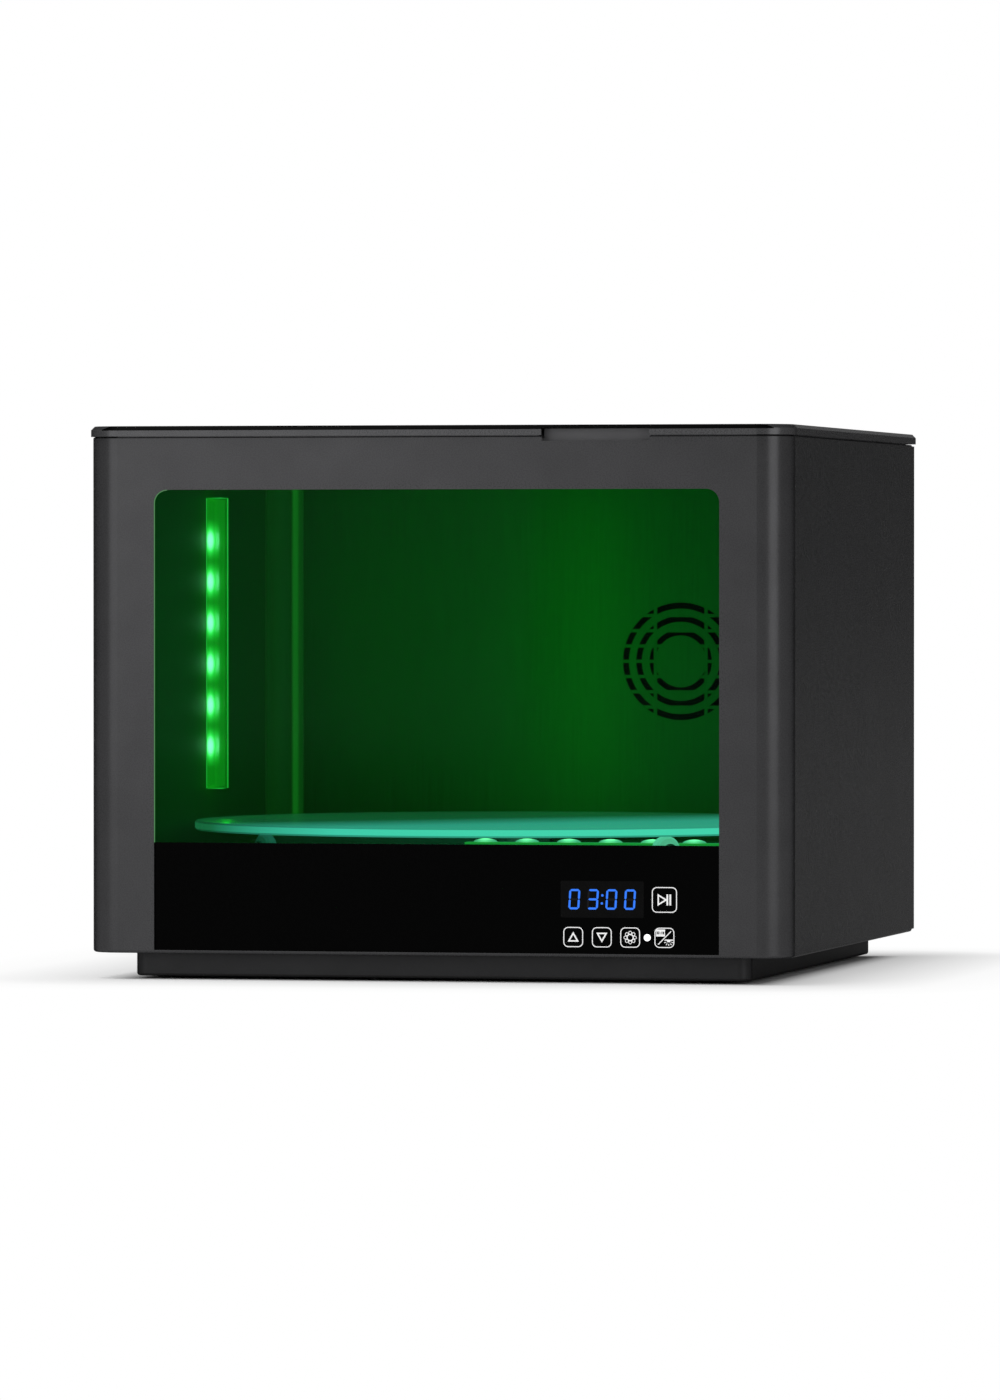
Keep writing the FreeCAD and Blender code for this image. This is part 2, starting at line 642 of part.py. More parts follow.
def corner_strips():
    """Rolled strips that close the two back corners, each with a foot on the side wall and on the back."""
    reach = COVE_RADIUS + COVE_FOOT
    inner = MOUTH_HALF - LINER_SHEET
    inner_y = LINER_BACK_Y - LINER_SHEET
    plan = [(MOUTH_HALF, LINER_BACK_Y - reach, 0), (MOUTH_HALF, LINER_BACK_Y, COVE_RADIUS),
            (MOUTH_HALF - reach, LINER_BACK_Y, 0), (MOUTH_HALF - reach, inner_y, 0),
            (inner, inner_y, COVE_RADIUS - LINER_SHEET), (inner, LINER_BACK_Y - reach, 0)]
    strip = prism(plan, "XY", FLOOR_TOP, FLANGE_UNDER)
    return [strip, mirrored(strip)]


def window_pane():
    """Green light-blocking sheet behind the opening."""
    return prism(window_corners(PANE_LAP, PANE_SPLIT, WINDOW_TOP), "XZ", PANE_Y, PANE_BACK_Y)


def control_fascia():
    """Black touch panel that fills the opening below the window."""
    return prism(rectangle(-PANE_HALF, PANE_HALF, PAN_UNDER, PANE_SPLIT), "XZ", PANE_Y, PANE_BACK_Y)


def window_seal():
    """Thin seal between the bezel and the two sheets, open at the sill."""
    outer = prism(window_corners(PANE_LAP, PAN_UNDER, WINDOW_TOP), "XZ", SEAL_Y, PANE_Y)
    inner = prism(window_corners(SEAL_SETBACK, PAN_UNDER - SHEET, WINDOW_TOP), "XZ", SEAL_Y - SHEET,
                  PANE_Y + SHEET)
    return outer.cut(inner)


def clamp_section(edge):
    """Z-shaped clip: a foot on the bezel and a finger over the sheet, beside the sheet's edge."""
    near = edge + FIT
    tip = edge - CLAMP_FINGER
    heel = near + CLAMP_FOOT
    return [(near, SEAL_Y), (heel, SEAL_Y), (heel, SEAL_Y + CLAMP_SHEET),
            (near + CLAMP_SHEET, SEAL_Y + CLAMP_SHEET),
            (near + CLAMP_SHEET, PANE_BACK_Y + CLAMP_SHEET), (tip, PANE_BACK_Y + CLAMP_SHEET),
            (tip, PANE_BACK_Y),
            (near, PANE_BACK_Y)]


def window_clamps():
    """Clips down both sides and along the top."""
    side_section = [(across, depth, 0) for across, depth in clamp_section(PANE_HALF)]
    top_section = [(depth, rise, 0) for rise, depth in clamp_section(PANE_TOP)]
    clamps = []
    fascia_middle = (PAN_UNDER + PANE_SPLIT) / 2
    pane_tall = PANE_TOP - PANE_SPLIT
    for height in (fascia_middle, PANE_SPLIT + pane_tall / 4, PANE_SPLIT + pane_tall * 3 / 4):
        clamp = prism(side_section, "XY", height - CLAMP_WIDTH / 2, height + CLAMP_WIDTH / 2)
        clamps += [clamp, mirrored(clamp)]
    top = prism(top_section, "YZ", WINDOW_WIDTH / 4, WINDOW_WIDTH / 4 + CLAMP_WIDTH)
    return clamps + [top, mirrored(top)]


def control_board():
    """Circuit board of the touch panel."""
    return box(CONTROL_BOARD_LEFT, CONTROL_BOARD_RIGHT, CONTROL_BOARD_Y, CONTROL_BOARD_Y + BOARD_THICKNESS,
               CONTROL_BOARD_LOW, CONTROL_BOARD_HIGH)


def timer_display():
    """Four-digit display block between the board and the fascia."""
    half = DISPLAY_WIDTH / 2
    tall = DISPLAY_TALL / 2
    return box(DISPLAY_X - half, DISPLAY_X + half, PANE_BACK_Y, CONTROL_BOARD_Y, DISPLAY_Z - tall,
               DISPLAY_Z + tall)


def touch_pads():
    """Round sensing pads behind the printed keys."""
    places = [(x, KEY_ROW_Z) for x in KEY_ROW_X] + [(START_KEY_X, DISPLAY_Z)]
    return [rod(KEY_PAD_RADIUS, V(x, PANE_BACK_Y, z), V(x, CONTROL_BOARD_Y, z)) for x, z in places]


def status_led():
    """Indicator lamp beside the last key."""
    return rod(STATUS_RADIUS, V(STATUS_X, PANE_BACK_Y, KEY_ROW_Z), V(STATUS_X, CONTROL_BOARD_Y, KEY_ROW_Z))


def driver_standoff_places():
    """Corners of the driver board where it stands on the pan."""
    front = FRONT_Y + ELECTRICS_BEHIND
    xs = (DRIVER_LEFT + STANDOFF_INSET, DRIVER_LEFT + DRIVER_WIDTH - STANDOFF_INSET)
    ys = (front + STANDOFF_INSET, front + DRIVER_DEPTH - STANDOFF_INSET)
    return [(x, y) for x in xs for y in ys]


def board_standoffs():
    """Pillars of the control board, on the fascia, and of the driver board, on the pan."""
    pillars = []
    for x in (CONTROL_BOARD_LEFT + STANDOFF_INSET, CONTROL_BOARD_RIGHT - STANDOFF_INSET):
        for z in (CONTROL_BOARD_LOW + STANDOFF_INSET, CONTROL_BOARD_HIGH - STANDOFF_INSET):
            pillars.append(rod(STANDOFF_RADIUS, V(x, PANE_BACK_Y, z), V(x, CONTROL_BOARD_Y, z)))
    for x, y in driver_standoff_places():
        pillars.append(rod(STANDOFF_RADIUS, V(x, y, PAN_TOP), V(x, y, PAN_TOP + DRIVER_LIFT)))
    return pillars


def lid_plan(inset):
    """Plan of the lid: large front corners that follow the bezel, small rear corners."""
    side = HALF + LID_OVERHANG - inset
    front = FRONT_Y - LID_OVERHANG + inset
    rear = REAR_Y - inset
    front_radius = CORNER_RADIUS + LID_OVERHANG - inset
    rear_radius = LID_REAR_CORNER - inset
    return [(-side, front, front_radius), (side, front, front_radius), (side, rear, rear_radius),
            (-side, rear, rear_radius)]


def lid_panel():
    """Shallow pressed lid with a chamfered rim, a finger notch and room for the hinges."""
    cover = prism(lid_plan(0), "XY", LID_BOTTOM, LID_TOP)
    cover = cover.makeChamfer(LID_CHAMFER, edges_at(cover, LID_TOP, lambda middle: True))
    hollow = prism(lid_plan(LID_SKIRT), "XY", LID_BOTTOM - SHEET, LID_UNDER)
    notch = box(NOTCH_LEFT, NOTCH_RIGHT, FRONT_Y - 2 * LID_OVERHANG,
                FRONT_Y - LID_OVERHANG + LID_SKIRT + FIT,
                LID_BOTTOM - SHEET, LID_UNDER)
    half = HINGE_WIDTH / 2 + SEAM
    gaps = [box(x - half, x + half, REAR_Y - LID_SKIRT - FIT, REAR_Y + FIT, LID_BOTTOM - SHEET, LID_UNDER)
            for x in (-HINGE_X, HINGE_X)]
    return cover.cut([hollow, notch] + gaps)


def gasket_plan(grow):
    """Ring round the chamber mouth, standing on the flanges."""
    side = MOUTH_HALF + GASKET_SIDE_LAP + grow
    front = FRONT_Y + FRONT_FLANGE - GASKET_FRONT_LAP - grow
    rear = LINER_BACK_Y + GASKET_REAR_LAP + grow
    return rectangle(-side, side, front, rear, GASKET_CORNER + grow)


def lid_gasket():
    """Foam strip that keeps the light in."""
    outer = prism(gasket_plan(GASKET_WIDTH), "XY", CASE_TOP, LID_UNDER)
    return outer.cut(prism(gasket_plan(0), "XY", CASE_TOP - SHEET, LID_UNDER + SHEET))


def lid_liner():
    """Bright sheet bonded under the lid, inside the gasket."""
    return prism(gasket_plan(-FIT), "XY", LID_UNDER - LINER_SHEET, LID_UNDER)


def lid_magnet():
    """Magnet that tells the case the lid is shut."""
    middle = FRONT_Y + MAGNET_BEHIND
    return rod(MAGNET_RADIUS, V(MAGNET_X, middle, LID_UNDER - MAGNET_HEIGHT),
               V(MAGNET_X, middle, LID_UNDER))


def lid_sensor():
    """Reed switch block under the front flange, below the magnet."""
    half = SENSOR_WIDTH / 2
    return box(MAGNET_X - half, MAGNET_X + half, SEAL_Y, SEAL_Y + SENSOR_DEPTH, FLANGE_UNDER - SENSOR_TALL,
               FLANGE_UNDER)


def hinge_screw_places():
    """Screws of the case leaves, as (x, z)."""
    height = HINGE_Z - LEAF_DROP + LEAF_SCREW_RISE
    return [(side * HINGE_X + offset, height) for side in (-1, 1) for offset in (-LEAF_SCREW_X,
                                                                                 LEAF_SCREW_X)]


def knuckle(x_low, x_high):
    """One barrel of a hinge."""
    return rod(KNUCKLE_RADIUS, V(x_low, HINGE_Y, HINGE_Z), V(x_high, HINGE_Y, HINGE_Z))


def pin_hole(centre_x):
    """Bore of the barrels, with running clearance round the pin."""
    half = HINGE_WIDTH
    return rod(PIN_RADIUS + RUNNING_FIT, V(centre_x - half, HINGE_Y, HINGE_Z),
               V(centre_x + half, HINGE_Y, HINGE_Z))


def hinge_body_leaves():
    """Leaves on the rear panel, each with the two outer barrels."""
    leaves = []
    gap = KNUCKLE_MIDDLE / 2 + KNUCKLE_PLAY
    half = HINGE_WIDTH / 2
    for centre in (-HINGE_X, HINGE_X):
        flat = box(centre - half, centre + half, REAR_Y, REAR_Y + LEAF_SHEET, HINGE_Z - LEAF_DROP,
                   HINGE_Z - KNUCKLE_RADIUS - KNUCKLE_PLAY)
        solids = [flat]
        for low, high in ((centre - half, centre - gap), (centre + gap, centre + half)):
            solids.append(box(low, high, REAR_Y, REAR_Y + LEAF_SHEET, HINGE_Z - LEAF_DROP, HINGE_Z))
            solids.append(knuckle(low, high))
        leaf = joined(solids)
        cuts = [rod(SCREW_HOLE_RADIUS, V(x, REAR_Y - SHEET, z), V(x, REAR_Y + LEAF_SHEET + SHEET, z))
                for x, z in hinge_screw_places()]
        leaves.append(leaf.cut(cuts + [pin_hole(centre)]))
    return leaves


def hinge_lid_leaves():
    """Leaves under the lid plate, each with the middle barrel."""
    leaves = []
    half = HINGE_WIDTH / 2
    middle = KNUCKLE_MIDDLE / 2
    low_z = LID_UNDER - LEAF_SHEET
    for centre in (-HINGE_X, HINGE_X):
        wide = box(centre - half, centre + half, REAR_Y - LEAF_REACH, REAR_Y - SEAM, low_z, LID_UNDER)
        tongue = box(centre - middle, centre + middle, REAR_Y - LEAF_REACH, HINGE_Y, low_z, LID_UNDER)
        leaf = joined([wide, tongue, knuckle(centre - middle, centre + middle)])
        leaves.append(leaf.cut(pin_hole(centre)))
    return leaves


def hinge_pins():
    """Straight pins through the barrels."""
    half = HINGE_WIDTH / 2
    return [rod(PIN_RADIUS, V(x - half, HINGE_Y, HINGE_Z), V(x + half, HINGE_Y, HINGE_Z))
            for x in (-HINGE_X, HINGE_X)]


def lamp_heights():
    """Heights of the lamps up a side bar."""
    return [BAR_CENTRE + (index - (LAMP_COUNT - 1) / 2) * LAMP_PITCH for index in range(LAMP_COUNT)]


def side_led_boards():
    """Boards of the two side bars, flat on the liners."""
    half = BAR_WIDTH / 2 - BAR_WALL - BOARD_MARGIN
    tall = BAR_LENGTH / 2 - BAR_WALL - BOARD_MARGIN
    board = box(MOUTH_HALF - BOARD_THICKNESS, MOUTH_HALF, BAR_Y - half, BAR_Y + half, BAR_CENTRE - tall,
                BAR_CENTRE + tall)
    return [board, mirrored(board)]


def side_led_chips():
    """Square lamps along the side bars."""
    face = MOUTH_HALF - BOARD_THICKNESS
    half = LAMP_SIDE / 2
    chips = [box(face - LAMP_HEIGHT, face, BAR_Y - half, BAR_Y + half, height - half, height + half)
             for height in lamp_heights()]
    return chips + [mirrored(chip) for chip in chips]


def right_led_cover():
    """Clear channel with closed ends over the right bar."""
    half = BAR_WIDTH / 2
    tall = BAR_LENGTH / 2
    inner = MOUTH_HALF - BAR_PROUD
    section = [(MOUTH_HALF, BAR_Y - half, 0), (inner, BAR_Y - half, BEND_RADIUS),
               (inner, BAR_Y + half, BEND_RADIUS),
               (MOUTH_HALF, BAR_Y + half, 0)]
    outer = prism(section, "XY", BAR_CENTRE - tall, BAR_CENTRE + tall)
    hollow = box(inner + BAR_WALL, MOUTH_HALF + BAR_WALL, BAR_Y - half + BAR_WALL, BAR_Y + half - BAR_WALL,
                 BAR_CENTRE - tall + BAR_WALL, BAR_CENTRE + tall - BAR_WALL)
    return outer.cut(hollow)


def both_floor_bars(solid):
    """A piece of the front floor bar and its copy half a turn round the table."""
    copy = solid.copy()
    copy.rotate(V(0, TABLE_Y, 0), AXIS_Z, 180)
    return [solid, copy]


def floor_led_channels():
    """Channels that carry the floor lamps."""
    middle = FRONT_Y + FLOOR_BAR_BEHIND
    half = FLOOR_BAR_WIDTH / 2
    top = FLOOR_TOP + FLOOR_BAR_HEIGHT
    section = [(middle - half, FLOOR_TOP, 0), (middle - half, top, BAR_WALL / 2),
               (middle + half, top, BAR_WALL / 2),
               (middle + half, FLOOR_TOP, 0), (middle + half - BAR_WALL, FLOOR_TOP, 0),
               (middle + half - BAR_WALL, top - BAR_WALL, 0), (middle - half + BAR_WALL, top - BAR_WALL, 0),
               (middle - half + BAR_WALL, FLOOR_TOP, 0)]
    return both_floor_bars(prism(section, "YZ", FLOOR_BAR_START, FLOOR_BAR_START + FLOOR_BAR_LENGTH))


def floor_led_boards():
    """Boards on top of the floor channels."""
    middle = FRONT_Y + FLOOR_BAR_BEHIND
    half = FLOOR_BAR_WIDTH / 2 - BAR_WALL - BOARD_MARGIN
    low = FLOOR_TOP + FLOOR_BAR_HEIGHT
    board = box(FLOOR_BAR_START + BOARD_MARGIN, FLOOR_BAR_START + FLOOR_BAR_LENGTH - BOARD_MARGIN,
                middle - half, middle + half, low, low + BOARD_THICKNESS)
    return both_floor_bars(board)


def floor_led_chips():
    """Square lamps along the floor boards."""
    middle_y = FRONT_Y + FLOOR_BAR_BEHIND
    middle_x = FLOOR_BAR_START + FLOOR_BAR_LENGTH / 2
    low = FLOOR_TOP + FLOOR_BAR_HEIGHT + BOARD_THICKNESS
    half = LAMP_SIDE / 2
    chips = []
    for index in range(FLOOR_LAMP_COUNT):
        x = middle_x + (index - (FLOOR_LAMP_COUNT - 1) / 2) * FLOOR_LAMP_PITCH
        chips += both_floor_bars(box(x - half, x + half, middle_y - half, middle_y + half, low,
                                     low + LAMP_HEIGHT))
    return chips


def turntable_disc():
    """Thick clear disc with eased edges."""
    top = DISC_UNDERSIDE + DISC_THICKNESS
    rim = DISC_RADIUS - DISC_EDGE
    profile = [(0, DISC_UNDERSIDE), (rim, DISC_UNDERSIDE), (DISC_RADIUS, DISC_UNDERSIDE + DISC_EDGE),
               (DISC_RADIUS, top - DISC_EDGE), (rim, top), (0, top)]
    return turned(profile, V(0, TABLE_Y, 0), AXIS_Z)


def d_bar(low, high, grow):
    """A round bar with one flat, about the table axis."""
    bar = rod(SHAFT_RADIUS + grow, V(0, TABLE_Y, low), V(0, TABLE_Y, high))
    flat = SHAFT_FLAT + grow
    return bar.cut(box(flat, flat + SHAFT_RADIUS, TABLE_Y - SHAFT_RADIUS * 2, TABLE_Y + SHAFT_RADIUS * 2,
                       low, high))


def hub_low():
    """Lower end of the hub's boss."""
    return DISC_UNDERSIDE - HUB_FLANGE - HUB_BOSS


def turntable_hub():
    """Flange bonded under the disc, with a boss bored for the shaft's D."""
    low = hub_low()
    step = DISC_UNDERSIDE - HUB_FLANGE
    profile = [(0, low), (HUB_BOSS_RADIUS, low), (HUB_BOSS_RADIUS, step), (HUB_FLANGE_RADIUS, step),
               (HUB_FLANGE_RADIUS, DISC_UNDERSIDE), (0, DISC_UNDERSIDE)]
    hub = turned(profile, V(0, TABLE_Y, 0), AXIS_Z)
    return hub.cut(d_bar(low - FIT, low + SHAFT_IN_HUB + FIT, RUNNING_FIT))


def drive_shaft():
    """Output shaft: round in the motor, with a flat in the hub."""
    low = hub_low()
    plain = rod(SHAFT_RADIUS, V(0, TABLE_Y, MOTOR_TOP - SHAFT_IN_MOTOR), V(0, TABLE_Y, low - FIT))
    return joined([plain, d_bar(low - FIT, low + SHAFT_IN_HUB, 0)])


def motor_screw_places():
    """Screws that hold the motor under its bracket."""
    reach = MOTOR_SCREW_CIRCLE / math.sqrt(2)
    return [(x, TABLE_Y + y) for x in (-reach, reach) for y in (-reach, reach)]


def gear_motor():
    """Round gear motor with a bearing boss on top."""
    low = MOTOR_TOP - MOTOR_HEIGHT
    waist = low + MOTOR_HEIGHT / 2
    profile = [(0, low), (MOTOR_RADIUS * 0.8, low), (MOTOR_RADIUS * 0.8, waist), (MOTOR_RADIUS, waist),
               (MOTOR_RADIUS, MOTOR_TOP), (MOTOR_BOSS_RADIUS, MOTOR_TOP),
               (MOTOR_BOSS_RADIUS, MOTOR_TOP + MOTOR_BOSS),
               (0, MOTOR_TOP + MOTOR_BOSS)]
    motor = turned(profile, V(0, TABLE_Y, 0), AXIS_Z)
    cuts = [rod(SHAFT_RADIUS + RUNNING_FIT, V(0, TABLE_Y, MOTOR_TOP - SHAFT_IN_MOTOR - FIT),
                V(0, TABLE_Y, MOTOR_TOP + MOTOR_BOSS + FIT))]
    for x, y in motor_screw_places():
        cuts.append(rod(SCREW_HOLE_RADIUS, V(x, y, MOTOR_TOP - SCREW_LENGTH), V(x, y, MOTOR_TOP + FIT)))
    return motor.cut(cuts)


def motor_bracket():
    """Hat-shaped strap under the floor that hangs the motor."""
    half = BRACKET_PLATE / 2
    foot = half + BRACKET_FOOT
    plate_top = MOTOR_TOP + BRACKET_SHEET
    inner = half - BRACKET_SHEET
    foot_under = FLOOR_UNDER - BRACKET_SHEET
    section = [(-foot, FLOOR_UNDER, 0), (-inner, FLOOR_UNDER, BEND_RADIUS), (-inner, plate_top, 0),
               (inner, plate_top, 0),
               (inner, FLOOR_UNDER, BEND_RADIUS), (foot, FLOOR_UNDER, 0), (foot, foot_under, 0),
               (half, foot_under, 0),
               (half, MOTOR_TOP, BEND_RADIUS), (-half, MOTOR_TOP, BEND_RADIUS), (-half, foot_under, 0),
               (-foot, foot_under, 0)]
    strap = prism(section, "XZ", TABLE_Y - BRACKET_DEPTH / 2, TABLE_Y + BRACKET_DEPTH / 2)
    cuts = [rod(MOTOR_BOSS_RADIUS + FIT, V(0, TABLE_Y, MOTOR_TOP - FIT), V(0, TABLE_Y, plate_top + FIT))]
    for x, y in motor_screw_places():
        cuts.append(rod(SCREW_HOLE_RADIUS, V(x, y, MOTOR_TOP - FIT), V(x, y, plate_top + FIT)))
    return strap.cut(cuts)


def motor_screws():
    """Screws down through the bracket into the motor."""
    return [screw(V(x, y, MOTOR_TOP + BRACKET_SHEET), AXIS_Z) for x, y in motor_screw_places()]


def roller(angle):
    """Support roller with eased rims, turning on a radial axle."""
    half = ROLLER_WIDTH / 2
    bore = AXLE_RADIUS + RUNNING_FIT
    shoulder = ROLLER_RADIUS - ROLLER_EDGE
    profile = [(bore, -half), (shoulder, -half), (ROLLER_RADIUS, -half + ROLLER_EDGE),
               (ROLLER_RADIUS, half - ROLLER_EDGE), (shoulder, half), (bore, half)]
    return at_roller(turned(profile, V(0, 0, ROLLER_Z), AXIS_X), angle)


def roller_brackets():
    """Pairs of L ears on the floor, either side of each roller."""
    near = ROLLER_WIDTH / 2 + EAR_PLAY
    top = ROLLER_Z + EAR_RADIUS
    upright = [(-EAR_RADIUS, FLOOR_TOP, 0), (EAR_RADIUS, FLOOR_TOP, 0), (EAR_RADIUS, top, EAR_RADIUS * 0.9),
               (-EAR_RADIUS, top, EAR_RADIUS * 0.9)]
    ear = joined([prism(upright, "YZ", near, near + EAR_SHEET),
                  box(near, near + EAR_FOOT, -EAR_RADIUS, EAR_RADIUS, FLOOR_TOP, FLOOR_TOP + EAR_SHEET)])
    ear = ear.cut(rod(AXLE_RADIUS + RUNNING_FIT, V(0, 0, ROLLER_Z), V(near * 2 + EAR_SHEET, 0, ROLLER_Z)))
    return [at_roller(side, angle) for angle in ROLLER_ANGLES.values() for side in (ear, mirrored(ear))]


def roller_axles():
    """Pins through the ears."""
    half = ROLLER_WIDTH / 2 + EAR_PLAY + EAR_SHEET
    axle = rod(AXLE_RADIUS, V(-half, 0, ROLLER_Z), V(half, 0, ROLLER_Z))
    return [at_roller(axle, angle) for angle in ROLLER_ANGLES.values()]


def fan_frame():
    """Square fan housing with a round duct, a motor plate on three arms and a stub axle."""
    half = FAN_SIZE / 2
    block = prism(rectangle(FAN_X - half, FAN_X + half, FAN_Z - half, FAN_Z + half, REAR_CORNER), "XZ",
                  FAN_FRONT_Y, FAN_BACK_Y)
    centre = V(FAN_X, FAN_BACK_Y, FAN_Z)
    duct = rod(FAN_BORE_RADIUS, V(FAN_X, FAN_FRONT_Y - FIT, FAN_Z), V(FAN_X, FAN_BACK_Y + FIT, FAN_Z))
    holes = [rod(SCREW_HOLE_RADIUS, V(x, FAN_BACK_Y - SCREW_LENGTH, z), V(x, FAN_BACK_Y + FIT, z))
             for x, z in fan_hole_places()]
    housing = block.cut([duct] + holes)
    plate_y = FAN_BACK_Y - FAN_PLATE
    plate = rod(FAN_HUB_RADIUS, V(FAN_X, plate_y, FAN_Z), centre)
    axle = rod(AXLE_RADIUS, V(FAN_X, FAN_FRONT_Y + FAN_DEPTH / 2, FAN_Z), centre)
    arms = []
    for index in range(3):
        arm = box(FAN_X + FAN_HUB_RADIUS / 2, FAN_X + FAN_BORE_RADIUS + FIT, plate_y, FAN_BACK_Y,
                  FAN_Z - FAN_PLATE, FAN_Z + FAN_PLATE)
        arm.rotate(centre, AXIS_Y, 90 + index * 120)
        arms.append(arm)
    return joined([housing, plate, axle] + arms)


def blade_section(radius, chord, pitch_angle):
    """Cambered blade section: five points along the chord, thickened, standing at a radius."""
    top = []
    bottom = []
    lean = math.radians(pitch_angle)
    for step in (-1.0, -0.5, 0.0, 0.5, 1.0):
        along = step * chord / 2
        bow = BLADE_CAMBER * (1 - step * step)
        for side, row in ((0.5, top), (-0.5, bottom)):
            rise = bow + side * BLADE_THICKNESS
            row.append(V(along * math.cos(lean) - rise * math.sin(lean),
                         along * math.sin(lean) + rise * math.cos(lean), radius))
    points = top + bottom[::-1]
    return Part.makePolygon(points + points[:1])


def fan_rotor():
    """Hub cup with twisted blades lofted from root to tip, turning on the stub axle."""
    front = FAN_FRONT_Y + FAN_PLATE / 2
    back = FAN_BACK_Y - FAN_PLATE - KNUCKLE_PLAY * 2
    depth = back - front
    profile = [(0, 0), (FAN_HUB_RADIUS - ROLLER_EDGE, 0), (FAN_HUB_RADIUS, ROLLER_EDGE),
               (FAN_HUB_RADIUS, depth),
               (0, depth)]
    hub = turned(profile, V(FAN_X, front, FAN_Z), AXIS_Y)
    root = blade_section(FAN_HUB_RADIUS - BLADE_THICKNESS, BLADE_ROOT_CHORD, BLADE_ROOT_ANGLE)
    tip = blade_section(FAN_TIP_RADIUS, BLADE_TIP_CHORD, BLADE_TIP_ANGLE)
    blade = Part.makeLoft([root, tip], True, True)
    blades = []
    for index in range(FAN_BLADES):
        copy = blade.copy()
        copy.rotate(V(0, 0, 0), AXIS_Y, index * 360 / FAN_BLADES)
        copy.translate(V(FAN_X, front + depth / 2, FAN_Z))
        blades.append(copy)
    rotor = hub.multiFuse(blades)
    bore_end = V(FAN_X, back + FIT, FAN_Z)
    return rotor.cut(rod(AXLE_RADIUS + RUNNING_FIT, V(FAN_X, FAN_FRONT_Y + FAN_DEPTH / 2 - FIT, FAN_Z),
                         bore_end))


def socket_corners(inset):
    """Mains inlet outline: a rectangle with its two upper corners cut off."""
    left = INLET_X - INLET_WIDTH / 2 + inset
    right = INLET_X + INLET_WIDTH / 2 - inset
    low = MAINS_Z - INLET_TALL / 2 + inset
    high = MAINS_Z + INLET_TALL / 2 - inset
    cut = INLET_CHAMFER
    return [(left, low, 0), (right, low, 0), (right, high - cut, 0), (right - cut, high, 0),
            (left + cut, high, 0),
            (left, high - cut, 0)]


def power_inlet():
    """Snap-in mains inlet: flange, body, pocket and three flat pins."""
    inner_y = REAR_Y - INLET_DEPTH
    half = INLET_WIDTH / 2 + FLANGE_LAP
    tall = INLET_TALL / 2 + FLANGE_LAP
    flange = prism(rectangle(INLET_X - half, INLET_X + half, MAINS_Z - tall, MAINS_Z + tall, FLANGE_LAP),
                   "XZ", REAR_Y,
                   REAR_Y + FLANGE_PROUD)
    body = box(INLET_X - INLET_WIDTH / 2, INLET_X + INLET_WIDTH / 2, inner_y, REAR_Y,
               MAINS_Z - INLET_TALL / 2, MAINS_Z + INLET_TALL / 2)
    pocket = prism(socket_corners(INLET_WALL), "XZ", inner_y + INLET_WALL, REAR_Y + FLANGE_PROUD + FIT)
    shell = joined([flange, body]).cut(pocket)
    pins = [box(INLET_X + across - PIN_BLADE / 2, INLET_X + across + PIN_BLADE / 2, inner_y,
                REAR_Y - PIN_SETBACK,
                MAINS_Z + rise - PIN_BLADE_TALL / 2, MAINS_Z + rise + PIN_BLADE_TALL / 2)
            for across, rise in ((-PIN_SPACING, -PIN_RISE), (0, PIN_RISE), (PIN_SPACING, -PIN_RISE))]
    return joined([shell] + pins)


def switch_body():
    """Rocker switch housing with its flange, open to the rear."""
    half = SWITCH_WIDTH / 2
    tall = SWITCH_TALL / 2
    flange = prism(rectangle(SWITCH_X - half - FLANGE_LAP, SWITCH_X + half + FLANGE_LAP,
                             MAINS_Z - tall - FLANGE_LAP,
                             MAINS_Z + tall + FLANGE_LAP, FLANGE_LAP), "XZ", REAR_Y, REAR_Y + FLANGE_PROUD)
    block = box(SWITCH_X - half, SWITCH_X + half, REAR_Y - SWITCH_DEPTH, REAR_Y, MAINS_Z - tall,
                MAINS_Z + tall)
    well = box(SWITCH_X - half + SWITCH_WALL, SWITCH_X + half - SWITCH_WALL,
               REAR_Y - SWITCH_DEPTH + SWITCH_WALL,
               REAR_Y + FLANGE_PROUD + FIT, MAINS_Z - tall + SWITCH_WALL, MAINS_Z + tall - SWITCH_WALL)
    pin = V(SWITCH_X, REAR_Y, MAINS_Z)
    bearing = rod(ROCKER_PIN_RADIUS + RUNNING_FIT, pin - AXIS_X * (half - SWITCH_WALL * 0.4),
                  pin + AXIS_X * (half - SWITCH_WALL * 0.4))
    return joined([flange, block]).cut([well, bearing])


def switch_rocker():
    """Two-faced rocker on stub pins, tilted to its on side."""
    half = SWITCH_WIDTH / 2 - SWITCH_WALL - ROCKER_PLAY
    tall = SWITCH_TALL / 2 - SWITCH_WALL - ROCKER_PLAY * 3
    valley = FLANGE_PROUD - FIT
    peak = valley + tall * math.tan(math.radians(ROCKER_TILT))
    root = -SWITCH_DEPTH / 4
    section = [(REAR_Y + peak, MAINS_Z - tall, 0), (REAR_Y + valley, MAINS_Z, SWITCH_TALL),
               (REAR_Y + peak, MAINS_Z + tall, 0), (REAR_Y + root / 2, MAINS_Z + tall, 0),
               (REAR_Y + root, MAINS_Z + tall / 2, 0), (REAR_Y + root, MAINS_Z - tall / 2, 0),
               (REAR_Y + root / 2, MAINS_Z - tall, 0)]
    pin = V(SWITCH_X, REAR_Y, MAINS_Z)
    stub = half + ROCKER_PLAY + SWITCH_WALL * 0.4
    rocker = joined([prism(section, "YZ", SWITCH_X - half, SWITCH_X + half),
                     rod(ROCKER_PIN_RADIUS, pin - AXIS_X * stub, pin + AXIS_X * stub)])
    rocker.rotate(pin, AXIS_X, ROCKER_TILT)
    return rocker


